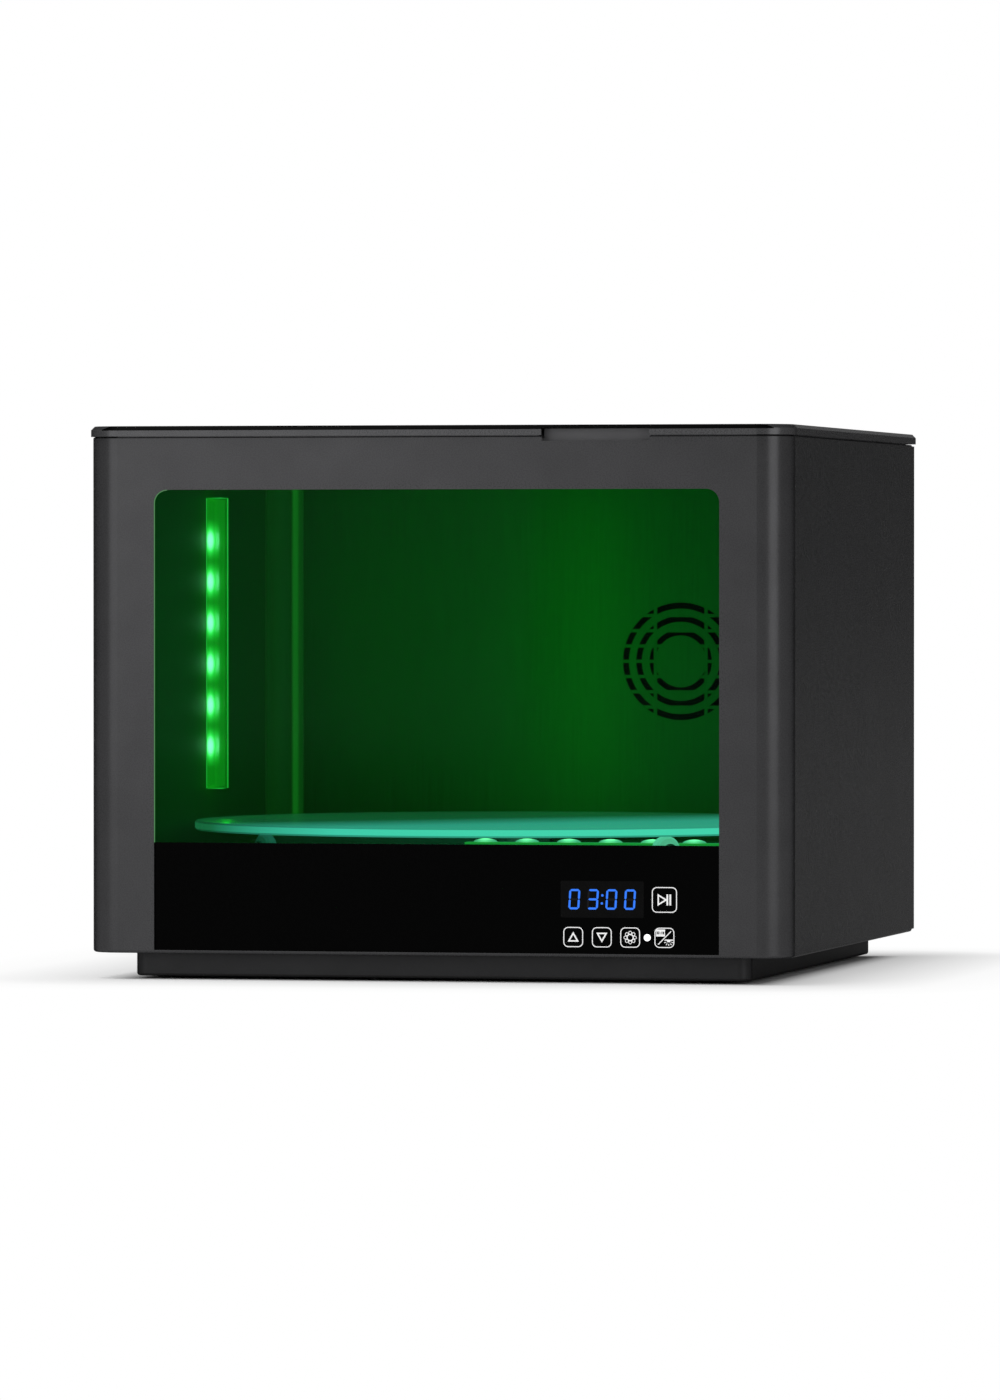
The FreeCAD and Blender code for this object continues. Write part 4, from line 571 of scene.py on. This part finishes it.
class CABINET_OT_case(bpy.types.Operator):
    """Paint the case, its plinth and feet"""

    bl_idname = "cabinet.case"
    bl_label = "Case"

    def execute(self, context):
        paint = painted("graphite_powder_coat", looks().paint, 0.28, 0.6)
        dress(paint, "front_bezel", "left_side_panel", "right_side_panel", "rear_panel", "rear_rail",
              "bottom_pan")
        low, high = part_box("front_bezel")
        base, top = high[2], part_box("lid_panel")[0][2] - BEAD_GAP
        near, far = low[1] + BEAD_OUTER, low[1] + BEAD_INNER
        side_start = near + CORNER_RADIUS
        runs = [((low[0] + CORNER_RADIUS, near, base), (NOTCH_LEFT, far, top)),
                ((NOTCH_RIGHT, near, base), (high[0] - CORNER_RADIUS, far, top)),
                ((low[0] + BEAD_OUTER, side_start, base), (low[0] + BEAD_INNER, BEAD_BACK, top)),
                ((high[0] - BEAD_INNER, side_start, base), (high[0] - BEAD_OUTER, BEAD_BACK, top))]
        bead = gathered([slab(*run) for run in runs])
        mend_normals(piece("rim_bead", *bead, paint, CABINET, "case_paint"))
        # Painted light: the finger pocket's coat is the case paint made 2.4 times lighter, lifting the shade
        # of the recess.
        dress(painted("pocket_coat_painted_light", scaled(looks().paint, 2.4), 0.4, 0.2), "finger_pocket")
        dress(painted("plinth_plastic", looks().plinth, 0.36, 0.5, 0.3), "base_plinth")
        dress(moulded("foot_rubber", (0.012, 0.012, 0.012), 0.75, 0.2), "rubber_feet", "window_seal")
        dress(brushed("plated_steel", (0.5, 0.5, 0.5), 0.4, (1, 1, 0.05)), "left_post", "right_post")
        return {"FINISHED"}


class CABINET_OT_lid(bpy.types.Operator):
    """Paint the lid, with painted shade on its front chamfer, and finish its hinges and seal"""

    bl_idname = "cabinet.lid"
    bl_label = "Lid"

    def execute(self, context):
        low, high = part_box("lid_panel")
        # Painted light: the lid's coat is the case paint made 1.35 times lighter, for the brighter look of
        # its front lip.
        paint = painted("lid_coat_painted_light_and_shade", scaled(looks().paint, 1.35), 0.28, 0.6)
        shader = paint.node_tree.nodes["Principled BSDF"]
        coat = shader.inputs["Base Color"].links[0].from_socket
        # Painted shade: along the front of the top edge, over the chamfer and half a millimetre below it, the
        # coat's colour gives way to near black for the shade on that chamfer.
        x, y, z = place_on(paint)
        reach = LID_CHAMFER + 0.5 * MM
        above = formula(paint, "GREATER_THAN", z, high[2] - reach)
        ahead = formula(paint, "LESS_THAN", y, low[1] + reach)
        painted_chamfer_shade = add_node(paint, "ShaderNodeMix", data_type="RGBA")
        link(paint, formula(paint, "MULTIPLY", above, ahead), painted_chamfer_shade.inputs["Factor"])
        link(paint, coat, painted_chamfer_shade.inputs[6])
        painted_chamfer_shade.inputs[7].default_value = (0.004, 0.004, 0.004, 1)
        link(paint, painted_chamfer_shade.outputs[2], shader.inputs["Base Color"])
        dress(paint, "lid_panel")
        dress(moulded("seal_foam", (0.015, 0.015, 0.015), 0.9, 0.1), "lid_gasket")
        dress(brushed("lid_reflector", (0.62, 0.63, 0.64), 0.35, (0.02, 1, 1)), "lid_liner")
        dress(painted("hinge_black", (0.02, 0.02, 0.02), 0.4, 0.3), "hinge_body_leaves", "hinge_lid_leaves")
        dress(brushed("pin_steel", (0.55, 0.55, 0.56), 0.25, (0.05, 1, 1)), "hinge_pins")
        dress(brushed("magnet_plate", (0.7, 0.7, 0.72), 0.15, (1, 1, 1)), "lid_magnet")
        dress(moulded("sensor_shell", (0.02, 0.02, 0.02), 0.5), "lid_sensor")
        return {"FINISHED"}


class CABINET_OT_window(bpy.types.Operator):
    """Green window, black touch panel and what holds them"""

    bl_idname = "cabinet.window"
    bl_label = "Window"

    def execute(self, context):
        dress(see_through("green_window", looks().window_tint, 0.5, 0.04), "window_pane")
        black, shader = finish_named("black_touch_panel")
        shader.inputs["Specular IOR Level"].default_value = 0.02
        dust = object_noise(black, 300.0, 2.0)
        feed(black, "Base Color", dust, (0.3, grey(0.0004)), (0.8, grey(0.0007)))
        feed(black, "Roughness", dust, (0.3, grey(0.06)), (0.8, grey(0.12)))
        dress(black, "control_fascia")
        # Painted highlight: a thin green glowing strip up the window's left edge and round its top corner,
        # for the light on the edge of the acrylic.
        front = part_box("front_bezel")[0][1]
        low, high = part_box("window_pane")
        left = low[0] + PANE_LAP
        bend = (left + WINDOW_CORNER, high[2] - PANE_LAP - WINDOW_CORNER)
        upright = [(left + EDGE_HALF, FASCIA_HIGH[2])]
        path = np.vstack([upright, arc(bend, WINDOW_CORNER - EDGE_HALF, 180, 90, 12)])
        edge = ribbon(path, 2 * EDGE_HALF, front + EDGE_FRONT, front + EDGE_BACK, False)
        painted_edge_highlight = glowing("window_edge_painted_highlight", (0.045, 0.19, 0.055), 1.0, (0.02, 0.05, 0.02))
        mend_normals(piece("window_edge_line", *edge, painted_edge_highlight, CABINET, "window_acrylic"))
        dress(brushed("clip_steel", (0.5, 0.5, 0.5), 0.35, (1, 1, 0.1)), "window_clamps")
        return {"FINISHED"}


class CABINET_OT_controls(bpy.types.Operator):
    """Timer digits, printed keys and the parts behind the panel"""

    bl_idname = "cabinet.controls"
    bl_label = "Controls"

    def execute(self, context):
        smoke, shader = finish_named("smoked_display_window")
        shader.inputs["Roughness"].default_value = 0.2
        shader.inputs["Specular IOR Level"].default_value = 0.02
        cloud = object_noise(smoke, 200.0, 1.0)
        feed(smoke, "Base Color", cloud, (0.3, grey(0.0046)), (0.7, grey(0.0054)))
        outline = rounded_square(DISPLAY_CENTRE, DISPLAY_WIDE, DISPLAY_TALL, DISPLAY_CORNER, 4)
        corners = np.insert(outline, 1, PRINT_BACK - DISPLAY_THICK / 2, axis=1)
        face = list(range(len(corners)))[::-1]
        plate = piece("display_window", corners, [face], smoke, CABINET, "fascia_black")
        thick = plate.modifiers.new("thickness", "SOLIDIFY")
        thick.thickness = DISPLAY_THICK
        lit, dark = timer_digits(looks().timer)
        blue = glowing("digit_light", looks().digit_light, 1.0, (0.0, 0.0, 0.02))
        unlit = moulded("digit_unlit", (0.006, 0.006, 0.008), 0.4, 0.1)
        ink = glowing("panel_ink", looks().ink, 0.45, looks().ink)
        white = glowing("status_light", (1, 1, 1), 0.95)
        dot = disc_mesh(STATUS_CENTRE, STATUS_RADIUS, PRINT_FRONT, PRINT_BACK)
        for name, mesh, finish in (("timer_digits_lit", lit, blue), ("timer_digits_dark", dark, unlit),
                                   ("key_print", key_print(), ink), ("status_window", dot, white)):
            mend_normals(piece(name, *mesh, finish, CABINET, "lamp_white"))
        mask = moulded("board_mask", (0.02, 0.09, 0.04), 0.45)
        dress(mask, "control_board", "side_led_boards", "driver_board")
        dress(moulded("display_block", (0.02, 0.02, 0.02), 0.4), "timer_display")
        dress(brushed("contact_metal", (0.7, 0.6, 0.35), 0.35, (1, 1, 1)), "touch_pads", "board_standoffs")
        dress(glowing("status_lens", (1, 1, 1), 0.8), "status_led")
        return {"FINISHED"}


class CABINET_OT_chamber(bpy.types.Operator):
    """Reflector walls and floor of the chamber, with painted green light and a painted highlight on the
    corner coves
    """

    bl_idname = "cabinet.chamber"
    bl_label = "Chamber"

    def execute(self, context):
        # Painted light: the green of the walls and floor stands in for the chamber's green lamp light; the
        # streaks are the sheets' own.
        wall, shader = streaked("chamber_reflector_painted_green", (0.09, 0.23, 0.075), (0.11, 0.28, 0.09), 0.4, 0.55)
        shader.inputs["Metallic"].default_value = 0.2
        shader.inputs["Specular IOR Level"].default_value = 0.05
        dress(wall, "left_liner", "right_liner", "back_liner", "chamber_floor")
        # Painted highlight: each corner cove glows green in an upright band near the end of its curve, for
        # the light that the curve catches; its green base colour stands in for the lamp light, as on the
        # walls.
        cove, shader = streaked("cove_painted_highlight", (0.09, 0.18, 0.055), (0.11, 0.22, 0.065), 0.42, 0.56)
        shader.inputs["Emission Strength"].default_value = 1.0
        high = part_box("corner_strips")[1]
        x, y, z = place_on(cove)
        inward = formula(cove, "SUBTRACT", high[0] - COVE_RADIUS, formula(cove, "ABSOLUTE", x))
        painted_highlight = [(0.0, 0.02), (0.25, 0.19), (0.5, 0.17), (0.7, 0.06), (1.0, 0.05)]
        stops = [(place, (0.15 * value, value, 0.1 * value)) for place, value in painted_highlight]
        feed(cove, "Emission Color", formula(cove, "DIVIDE", inward, COVE_FOOT), *stops)
        dress(cove, "corner_strips")
        return {"FINISHED"}


def spaced_glow(material, along, start, pitch, aside, spread_along, spread_aside):
    """Round painted glows at even steps: e to the minus square of the distance to the nearest lamp, measured
    in spreads along the row and aside from it."""
    step = formula(material, "DIVIDE", formula(material, "SUBTRACT", along, start), pitch)
    part = formula(material, "FRACT", formula(material, "ADD", step, 0.5))
    off = formula(material, "SUBTRACT", part, 0.5)
    far = formula(material, "POWER", formula(material, "MULTIPLY", off, pitch / spread_along), 2)
    side = formula(material, "POWER", formula(material, "DIVIDE", aside, spread_aside), 2)
    square = formula(material, "ADD", far, side)
    return formula(material, "EXPONENT", formula(material, "MULTIPLY", square, -1))


def lit_cover(name):
    """Clear cover over the upright rows of lamps: a painted glow, faint all over and bright before each lamp.
    """
    low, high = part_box("side_led_chips")
    pitch = (high[2] - low[2] - LAMP_SIDE) / (SIDE_LAMP_COUNT - 1)
    material = see_through(name, (0.86, 0.97, 0.87), 0.5, 0.15)
    nodes = material.node_tree.nodes
    x, y, z = place_on(material)
    aside = formula(material, "SUBTRACT", formula(material, "ABSOLUTE", x), high[0] - GLOW_INSET)
    glow = spaced_glow(material, z, low[2] + LAMP_SIDE / 2, pitch, aside, GLOW_TALL, GLOW_WIDE)
    off_middle = formula(material, "SUBTRACT", z, (low[2] + high[2]) / 2)
    reach = SIDE_LAMP_COUNT * pitch / 2
    ends = formula(material, "LESS_THAN", formula(material, "ABSOLUTE", off_middle), reach)
    bright = formula(material, "MULTIPLY", glow, ends)
    feed(material, "Emission Color", bright, (0.0, (0.05, 1.0, 0.05)), (0.4, (0.2, 1.0, 0.22)),
         (0.75, (1.0, 1.0, 0.85)))
    far = formula(material, "POWER", formula(material, "DIVIDE", aside, HAZE_WIDE), 2)
    haze = formula(material, "EXPONENT", formula(material, "MULTIPLY", far, -1))
    veil = formula(material, "MULTIPLY_ADD", haze, 0.45, 0.12)
    strength = formula(material, "MULTIPLY_ADD", bright, 2.8, veil)
    link(material, strength, nodes["Principled BSDF"].inputs["Emission Strength"])
    share = nodes["Mix Shader"].inputs["Fac"]
    gloss = share.links[0].from_socket
    cover = formula(material, "MULTIPLY_ADD", bright, 0.55, 0.35)
    link(material, formula(material, "ADD", gloss, cover), share)
    return material


def tube(path, radius, sides):
    """A round bar along a closed path: at each point a ring in the plane across the mean direction of its
    two neighbours, the ring's angle running over the sides."""
    path = np.asarray(path, float)
    along = np.roll(path, -1, axis=0) - np.roll(path, 1, axis=0)
    along /= np.linalg.norm(along, axis=1, keepdims=True)
    guide = np.where(np.abs(along[:, 2:3]) > 0.9, [[0.0, 1.0, 0.0]], [[0.0, 0.0, 1.0]])
    first = np.cross(along, guide)
    first /= np.linalg.norm(first, axis=1, keepdims=True)
    second = np.cross(along, first)
    angle = np.linspace(0, 2 * np.pi, sides, endpoint=False)[None, :, None]
    rings = path[:, None] + radius * (np.cos(angle) * first[:, None] + np.sin(angle) * second[:, None])
    return rings.reshape(-1, 3), grid_faces(len(path), sides, True, True)


def dome(centre, reach, rings=5, sides=20):
    """Upper half of an ellipsoid: x and y follow cos(v), z follows sin(v), v from 0 to a right angle."""
    rise = np.linspace(0, np.pi / 2, rings + 1)[:-1]
    turn = np.linspace(0, 2 * np.pi, sides, endpoint=False)
    v, u = np.meshgrid(rise, turn, indexing="ij")
    shell = np.stack([np.cos(v) * np.cos(u), np.cos(v) * np.sin(u), np.sin(v)], axis=-1).reshape(-1, 3)
    points = np.vstack([shell, [[0, 0, 1]]]) * np.array(reach) + np.array(centre)
    last = (rings - 1) * sides
    top = [(last + index, last + (index + 1) % sides, rings * sides) for index in range(sides)]
    base = tuple(range(sides))[::-1]
    return points, list(grid_faces(rings, sides, False, True)) + top + [base]


def soft_lamp(name, place, aim, wide, tall, power, colour=(1, 1, 1)):
    """A soft lamp, a lit rectangle that faces a point."""
    lamp = bpy.data.lights.new(name, "AREA")
    lamp.shape = "RECTANGLE"
    lamp.size = wide
    lamp.size_y = tall
    lamp.energy = power
    lamp.color = colour
    made = bpy.data.objects.new(name, lamp)
    made.location = place
    made.rotation_euler = (Vector(aim) - Vector(place)).to_track_quat("-Z", "Y").to_euler()
    bpy.context.scene.collection.objects.link(made)


# Lamps inside the chamber in metres and watts: one at each cover, and one that lights the back wall
BAR_POWER = 0.075
WASH_PLACE = (0.0, 0.13, 0.22)
WASH_AIM = (0.0, 0.21, 0.22)
WASH_WIDE = 0.03
WASH_TALL = 0.22
WASH_POWER = 0.03


class CABINET_OT_lights(bpy.types.Operator):
    """Light bars, their covers and the light that they give"""

    bl_idname = "cabinet.lights"
    bl_label = "Lights"

    def execute(self, context):
        green = tuple(looks().lamp_light)
        dress(glowing("lamp_lens", (1.0, 1.0, 0.75), 1.0), "side_led_chips", "floor_led_chips")
        dress(brushed("bar_channel", (0.6, 0.6, 0.6), 0.4, (0.03, 1, 1)), "floor_led_channels")
        dress(lit_cover("bar_cover_painted_glow"), "left_led_cover", "right_led_cover")
        # Painted glow: a thin green-lit tube along each cover's edges, for the lamp light that these edges
        # catch.
        edge_glow = glowing("cover_edge_painted_glow", (0.12, 1.0, 0.14), 0.8)
        for name in ("left_led_cover", "right_led_cover"):
            low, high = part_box(name)
            side = 1 if low[0] < 0 else -1
            wall, inner = (low[0], high[0]) if side > 0 else (high[0], low[0])
            rim = [(wall, low[1], low[2]), (inner, low[1], low[2]), (inner, high[1], low[2]),
                   (inner, high[1], high[2]), (inner, low[1], high[2]), (wall, low[1], high[2])]
            edges = tube(rim, COVER_EDGE_RADIUS, 6)
            mend_normals(piece(name + "_edges", *edges, edge_glow, CABINET, "lamp_white", True))
            middle_y, middle_z = (low[1] + high[1]) / 2, (low[2] + high[2]) / 2
            place, aim = (inner + side * MM, middle_y, middle_z), (inner + side, middle_y, middle_z)
            soft_lamp(name + "_light", place, aim, high[1] - low[1], high[2] - low[2], BAR_POWER, green)
        low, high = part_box("floor_led_chips")
        half = LAMP_SIDE / 2
        rows = {"front": (low[1] + half, high[0] - half, -FLOOR_LAMP_PITCH),
                "rear": (high[1] - half, low[0] + half, FLOOR_LAMP_PITCH)}
        # Each lens dome glows as its lamp, brightest over the lamp's chip; the fall of the glow round each
        # chip is a painted halo, over a faint glow on the whole dome.
        for name, (row_y, start, step) in rows.items():
            lens = glowing(name + "_floor_lens", (1.0, 1.0, 0.7), 2.0)
            shader = lens.node_tree.nodes["Principled BSDF"]
            x, y, z = place_on(lens)
            aside = formula(lens, "SUBTRACT", y, row_y)
            painted_halo = spaced_glow(lens, x, start, FLOOR_LAMP_PITCH, aside, LENS_HALO, LENS_HALO)
            link(lens, formula(lens, "MULTIPLY_ADD", painted_halo, 3.2, 0.25), shader.inputs["Emission Strength"])
            domes = [dome((start + index * step, row_y, high[2] - LAMP_TALL), LENS_REACH)
                     for index in range(FLOOR_LAMP_COUNT)]
            mend_normals(piece(name + "_floor_lenses", *gathered(domes), lens, CABINET, "lamp_white", True))
        # Painted glow: the boards under the floor lamps glow green for the lamp light that falls on them.
        dress(glowing("floor_board_painted_glow", (0.1, 0.6, 0.1), 0.7, (0.05, 0.2, 0.08)), "floor_led_boards")
        soft_lamp("wall_wash", WASH_PLACE, WASH_AIM, WASH_WIDE, WASH_TALL, WASH_POWER, green)
        return {"FINISHED"}


class CABINET_OT_turntable(bpy.types.Operator):
    """Clear disc, hub, drive and rollers"""

    bl_idname = "cabinet.turntable"
    bl_label = "Turntable"

    def execute(self, context):
        disc, shader = finish_named("frosted_disc_painted_glow")
        shader.inputs["Roughness"].default_value = 0.25
        shader.inputs["Specular IOR Level"].default_value = 0.2
        cloud = object_noise(disc, 14.0, 2.0)
        feed(disc, "Base Color", cloud, (0.3, (0.06, 0.12, 0.1)), (0.7, (0.08, 0.15, 0.12)))
        # Painted light: the disc glows dim teal at its back left and pale blue towards its front right, twice
        # as strong on its rim, for the lamp light that it carries; the glow turns with the disc.
        x, y, z = place_on(disc)
        front = formula(disc, "MULTIPLY_ADD", formula(disc, "SUBTRACT", x, y), 1.5, 0.5)
        facing = add_node(disc, "ShaderNodeSeparateXYZ")
        link(disc, add_node(disc, "ShaderNodeTexCoord").outputs["Normal"], facing.inputs["Vector"])
        rim = formula(disc, "LESS_THAN", formula(disc, "ABSOLUTE", facing.outputs["Z"]), 0.6)
        feed(disc, "Emission Color", front, (0.0, (0.04, 0.1, 0.06)), (0.42, (0.05, 0.14, 0.11)),
             (0.72, (0.33, 0.62, 0.95)), (1.0, (0.38, 0.7, 1.0)))
        link(disc, formula(disc, "MULTIPLY_ADD", rim, 0.85, 0.85), shader.inputs["Emission Strength"])
        dress(disc, "turntable_disc")
        white = moulded("roller_plastic_painted_glow", (0.7, 0.7, 0.7), 0.45)
        # Painted glow: the rollers and hub glow pinkish white, from none at the middle to 0.7 at 100 mm
        # right, for the lamp light on the right-hand rollers.
        shader = white.node_tree.nodes["Principled BSDF"]
        shader.inputs["Emission Color"].default_value = (1.0, 0.85, 1.0, 1)
        x, y, z = place_on(white)
        feed(white, "Emission Strength", formula(white, "MULTIPLY", x, 10), (0.0, grey(0)), (1.0, grey(0.7)))
        dress(white, "turntable_hub", "roller_front_right", "roller_rear_right", "roller_rear_left",
              "roller_front_left")
        steel = brushed("drive_steel", (0.55, 0.55, 0.55), 0.3, (1, 1, 0.1))
        dress(steel, "drive_shaft", "gear_motor", "motor_bracket", "motor_screws", "roller_brackets",
              "roller_axles", "power_supply")
        return {"FINISHED"}


class CABINET_OT_rear(bpy.types.Operator):
    """Fan, mains inlet, switch and screws"""

    bl_idname = "cabinet.rear"
    bl_label = "Rear"

    def execute(self, context):
        black = moulded("black_moulding", (0.018, 0.018, 0.019), 0.45)
        dress(black, "power_inlet", "switch_body", "switch_rocker")
        dress(moulded("fan_plastic", (0.006, 0.006, 0.006), 0.6, 0.1), "fan_frame", "fan_rotor")
        low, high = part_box("fan_frame")
        middle = ((low[0] + high[0]) / 2, (low[2] + high[2]) / 2)
        foam = moulded("filter_foam", (0.004, 0.004, 0.004), 0.9, 0.05)
        plate = disc_mesh(middle, FILTER_RADIUS, low[1] - FILTER_FRONT, low[1] - FILTER_BACK, 64)
        mend_normals(piece("fan_filter", *plate, foam, CABINET, "foam_black"))
        dress(brushed("black_oxide", (0.06, 0.06, 0.062), 0.35, (1, 1, 1)), "rear_screws")
        return {"FINISHED"}


# Camera that takes the photo's view
CAMERA_PLACE = (1.3563, -6.1430, 0.2742)
CAMERA_AZIMUTH = math.radians(12.535)
CAMERA_PITCH = math.radians(0.796)
CAMERA_LENS = 231.4

# Stage in metres: grey world, floor that whitens with the distance from the plinth, backdrop and lamps
WORLD_GREY = 0.18
FLOOR_HALF = 20.0
PLINTH_SHIFT = 0.003
PLINTH_HALF_WIDE = 0.2125
PLINTH_HALF_DEEP = 0.225
FLOOR_WHITE = ((0, 0), (0.02, 0.42), (0.06, 0.66), (0.12, 0.94), (0.18, 1))
BACKDROP_LEFT = -6.4
BACKDROP_RIGHT = 1.2
BACKDROP_LOW = -0.1
BACKDROP_HIGH = 8.0
BACKDROP_Y = 10.5
BACKDROP_WHITE = ((0, 1), (1, 1))
SOFTBOXES = (("softbox_left", (-1.5, -2.94, 1.0), (0, -0.2, 0.15), 2.1, 1.9, 22),
             ("softbox_right", (2.6, -2.3, 1.0), (0.2, 0, 0.15), 1.9, 1.9, 25),
             ("softbox_top", (-1.0, -0.9, 2.9), (0, -0.2, 0), 1.6, 1.6, 38))


def pale_paper(name, shift, half_wide, half_deep, stops):
    """White paper: it shades as a pale matt surface and, for the eye, glass and gloss, glows up to white.

    The share of the glow follows the distance from a rectangle with half sides a and b, shifted by s:
    the root of (|x - s| - a)^2 + (|y| - b)^2, with each bracket at least 0.
    """
    material, shader = finish_named(name)
    shader.inputs["Roughness"].default_value = 0.9
    shader.inputs["Specular IOR Level"].default_value = 0.0
    tooth = object_noise(material, 90.0, 1.0)
    feed(material, "Base Color", tooth, (0.3, grey(0.9)), (0.7, grey(0.91)))
    x, y, z = place_on(material)
    aside = formula(material, "ABSOLUTE", formula(material, "SUBTRACT", x, shift))
    beside = formula(material, "MAXIMUM", formula(material, "SUBTRACT", aside, half_wide), 0)
    ahead = formula(material, "ABSOLUTE", y)
    before = formula(material, "MAXIMUM", formula(material, "SUBTRACT", ahead, half_deep), 0)
    wide, deep = (formula(material, "POWER", side, 2) for side in (beside, before))
    distance = formula(material, "SQRT", formula(material, "ADD", wide, deep))
    share = ramp(material, distance, [(place, grey(value)) for place, value in stops])
    rays = add_node(material, "ShaderNodeLightPath").outputs
    eye = formula(material, "MAXIMUM", rays["Is Camera Ray"], rays["Is Glossy Ray"])
    seen = formula(material, "MAXIMUM", eye, rays["Is Transmission Ray"])
    white = add_node(material, "ShaderNodeEmission", Color=(1, 1, 1, 1), Strength=1.0)
    glow = formula(material, "MULTIPLY", share, seen)
    blend(material, glow, shader.outputs["BSDF"], white.outputs["Emission"])
    return material


def stage_sheet(name, corners, material):
    """A flat four-cornered sheet of the stage."""
    mesh = bpy.data.meshes.new(name)
    mesh.from_pydata(corners, [], [(0, 1, 2, 3)])
    mesh.materials.append(material)
    made = bpy.data.objects.new(name, mesh)
    bpy.context.scene.collection.objects.link(made)


class CABINET_OT_stage(bpy.types.Operator):
    """Pale floor, white backdrop, soft light and the camera"""

    bl_idname = "cabinet.stage"
    bl_label = "Stage"

    def execute(self, context):
        scene = bpy.context.scene
        scene.view_settings.view_transform = "Standard"
        camera = bpy.data.cameras.new("photo_view")
        camera.lens = CAMERA_LENS
        camera.clip_end = 100.0
        made = bpy.data.objects.new("photo_view", camera)
        made.location = CAMERA_PLACE
        made.rotation_euler = (math.radians(90) - CAMERA_PITCH, 0, CAMERA_AZIMUTH)
        scene.collection.objects.link(made)
        scene.camera = made
        scene.world = bpy.data.worlds.new("studio")
        scene.world.use_nodes = True
        background = scene.world.node_tree.nodes["Background"]
        background.inputs["Color"].default_value = grey(WORLD_GREY) + (1,)
        half = FLOOR_HALF
        floor = pale_paper("floor_paper", PLINTH_SHIFT, PLINTH_HALF_WIDE, PLINTH_HALF_DEEP, FLOOR_WHITE)
        stage_sheet("floor", [(-half, -half, 0), (half, -half, 0), (half, half, 0), (-half, half, 0)], floor)
        foot = [(BACKDROP_LEFT, BACKDROP_Y, BACKDROP_LOW), (BACKDROP_RIGHT, BACKDROP_Y, BACKDROP_LOW)]
        head = [(BACKDROP_RIGHT, BACKDROP_Y, BACKDROP_HIGH), (BACKDROP_LEFT, BACKDROP_Y, BACKDROP_HIGH)]
        stage_sheet("backdrop", foot + head, pale_paper("backdrop_paper", 0, 0, 0, BACKDROP_WHITE))
        for softbox in SOFTBOXES:
            soft_lamp(*softbox)
        return {"FINISHED"}


OPERATORS = (CABINET_OT_case, CABINET_OT_lid, CABINET_OT_window, CABINET_OT_controls, CABINET_OT_chamber,
             CABINET_OT_lights, CABINET_OT_turntable, CABINET_OT_rear, CABINET_OT_stage)


class CABINET_PT_panel(bpy.types.Panel):
    """Lists the pieces in the sidebar"""

    bl_idname = "CABINET_PT_panel"
    bl_label = "Curing Cabinet"
    bl_space_type = "VIEW_3D"
    bl_region_type = "UI"
    bl_category = "Cabinet"

    def draw(self, context):
        for operator in OPERATORS:
            self.layout.operator(operator.bl_idname)


CLASSES = (CabinetLooks,) + OPERATORS + (CABINET_PT_panel,)


def register():
    """Make the classes known and hang the settings on the scene."""
    for cls in CLASSES:
        bpy.utils.register_class(cls)
    bpy.types.Scene.cabinet_looks = bpy.props.PointerProperty(type=CabinetLooks)


def unregister():
    """Take the settings and classes away again."""
    del bpy.types.Scene.cabinet_looks
    for cls in reversed(CLASSES):
        bpy.utils.unregister_class(cls)


def main():
    """Dress the frame piece by piece."""
    register()
    bpy.ops.cabinet.case()
    bpy.ops.cabinet.lid()
    bpy.ops.cabinet.window()
    bpy.ops.cabinet.controls()
    bpy.ops.cabinet.chamber()
    bpy.ops.cabinet.lights()
    bpy.ops.cabinet.turntable()
    bpy.ops.cabinet.rear()
    bpy.ops.cabinet.stage()


if __name__ == "__main__":
    main()
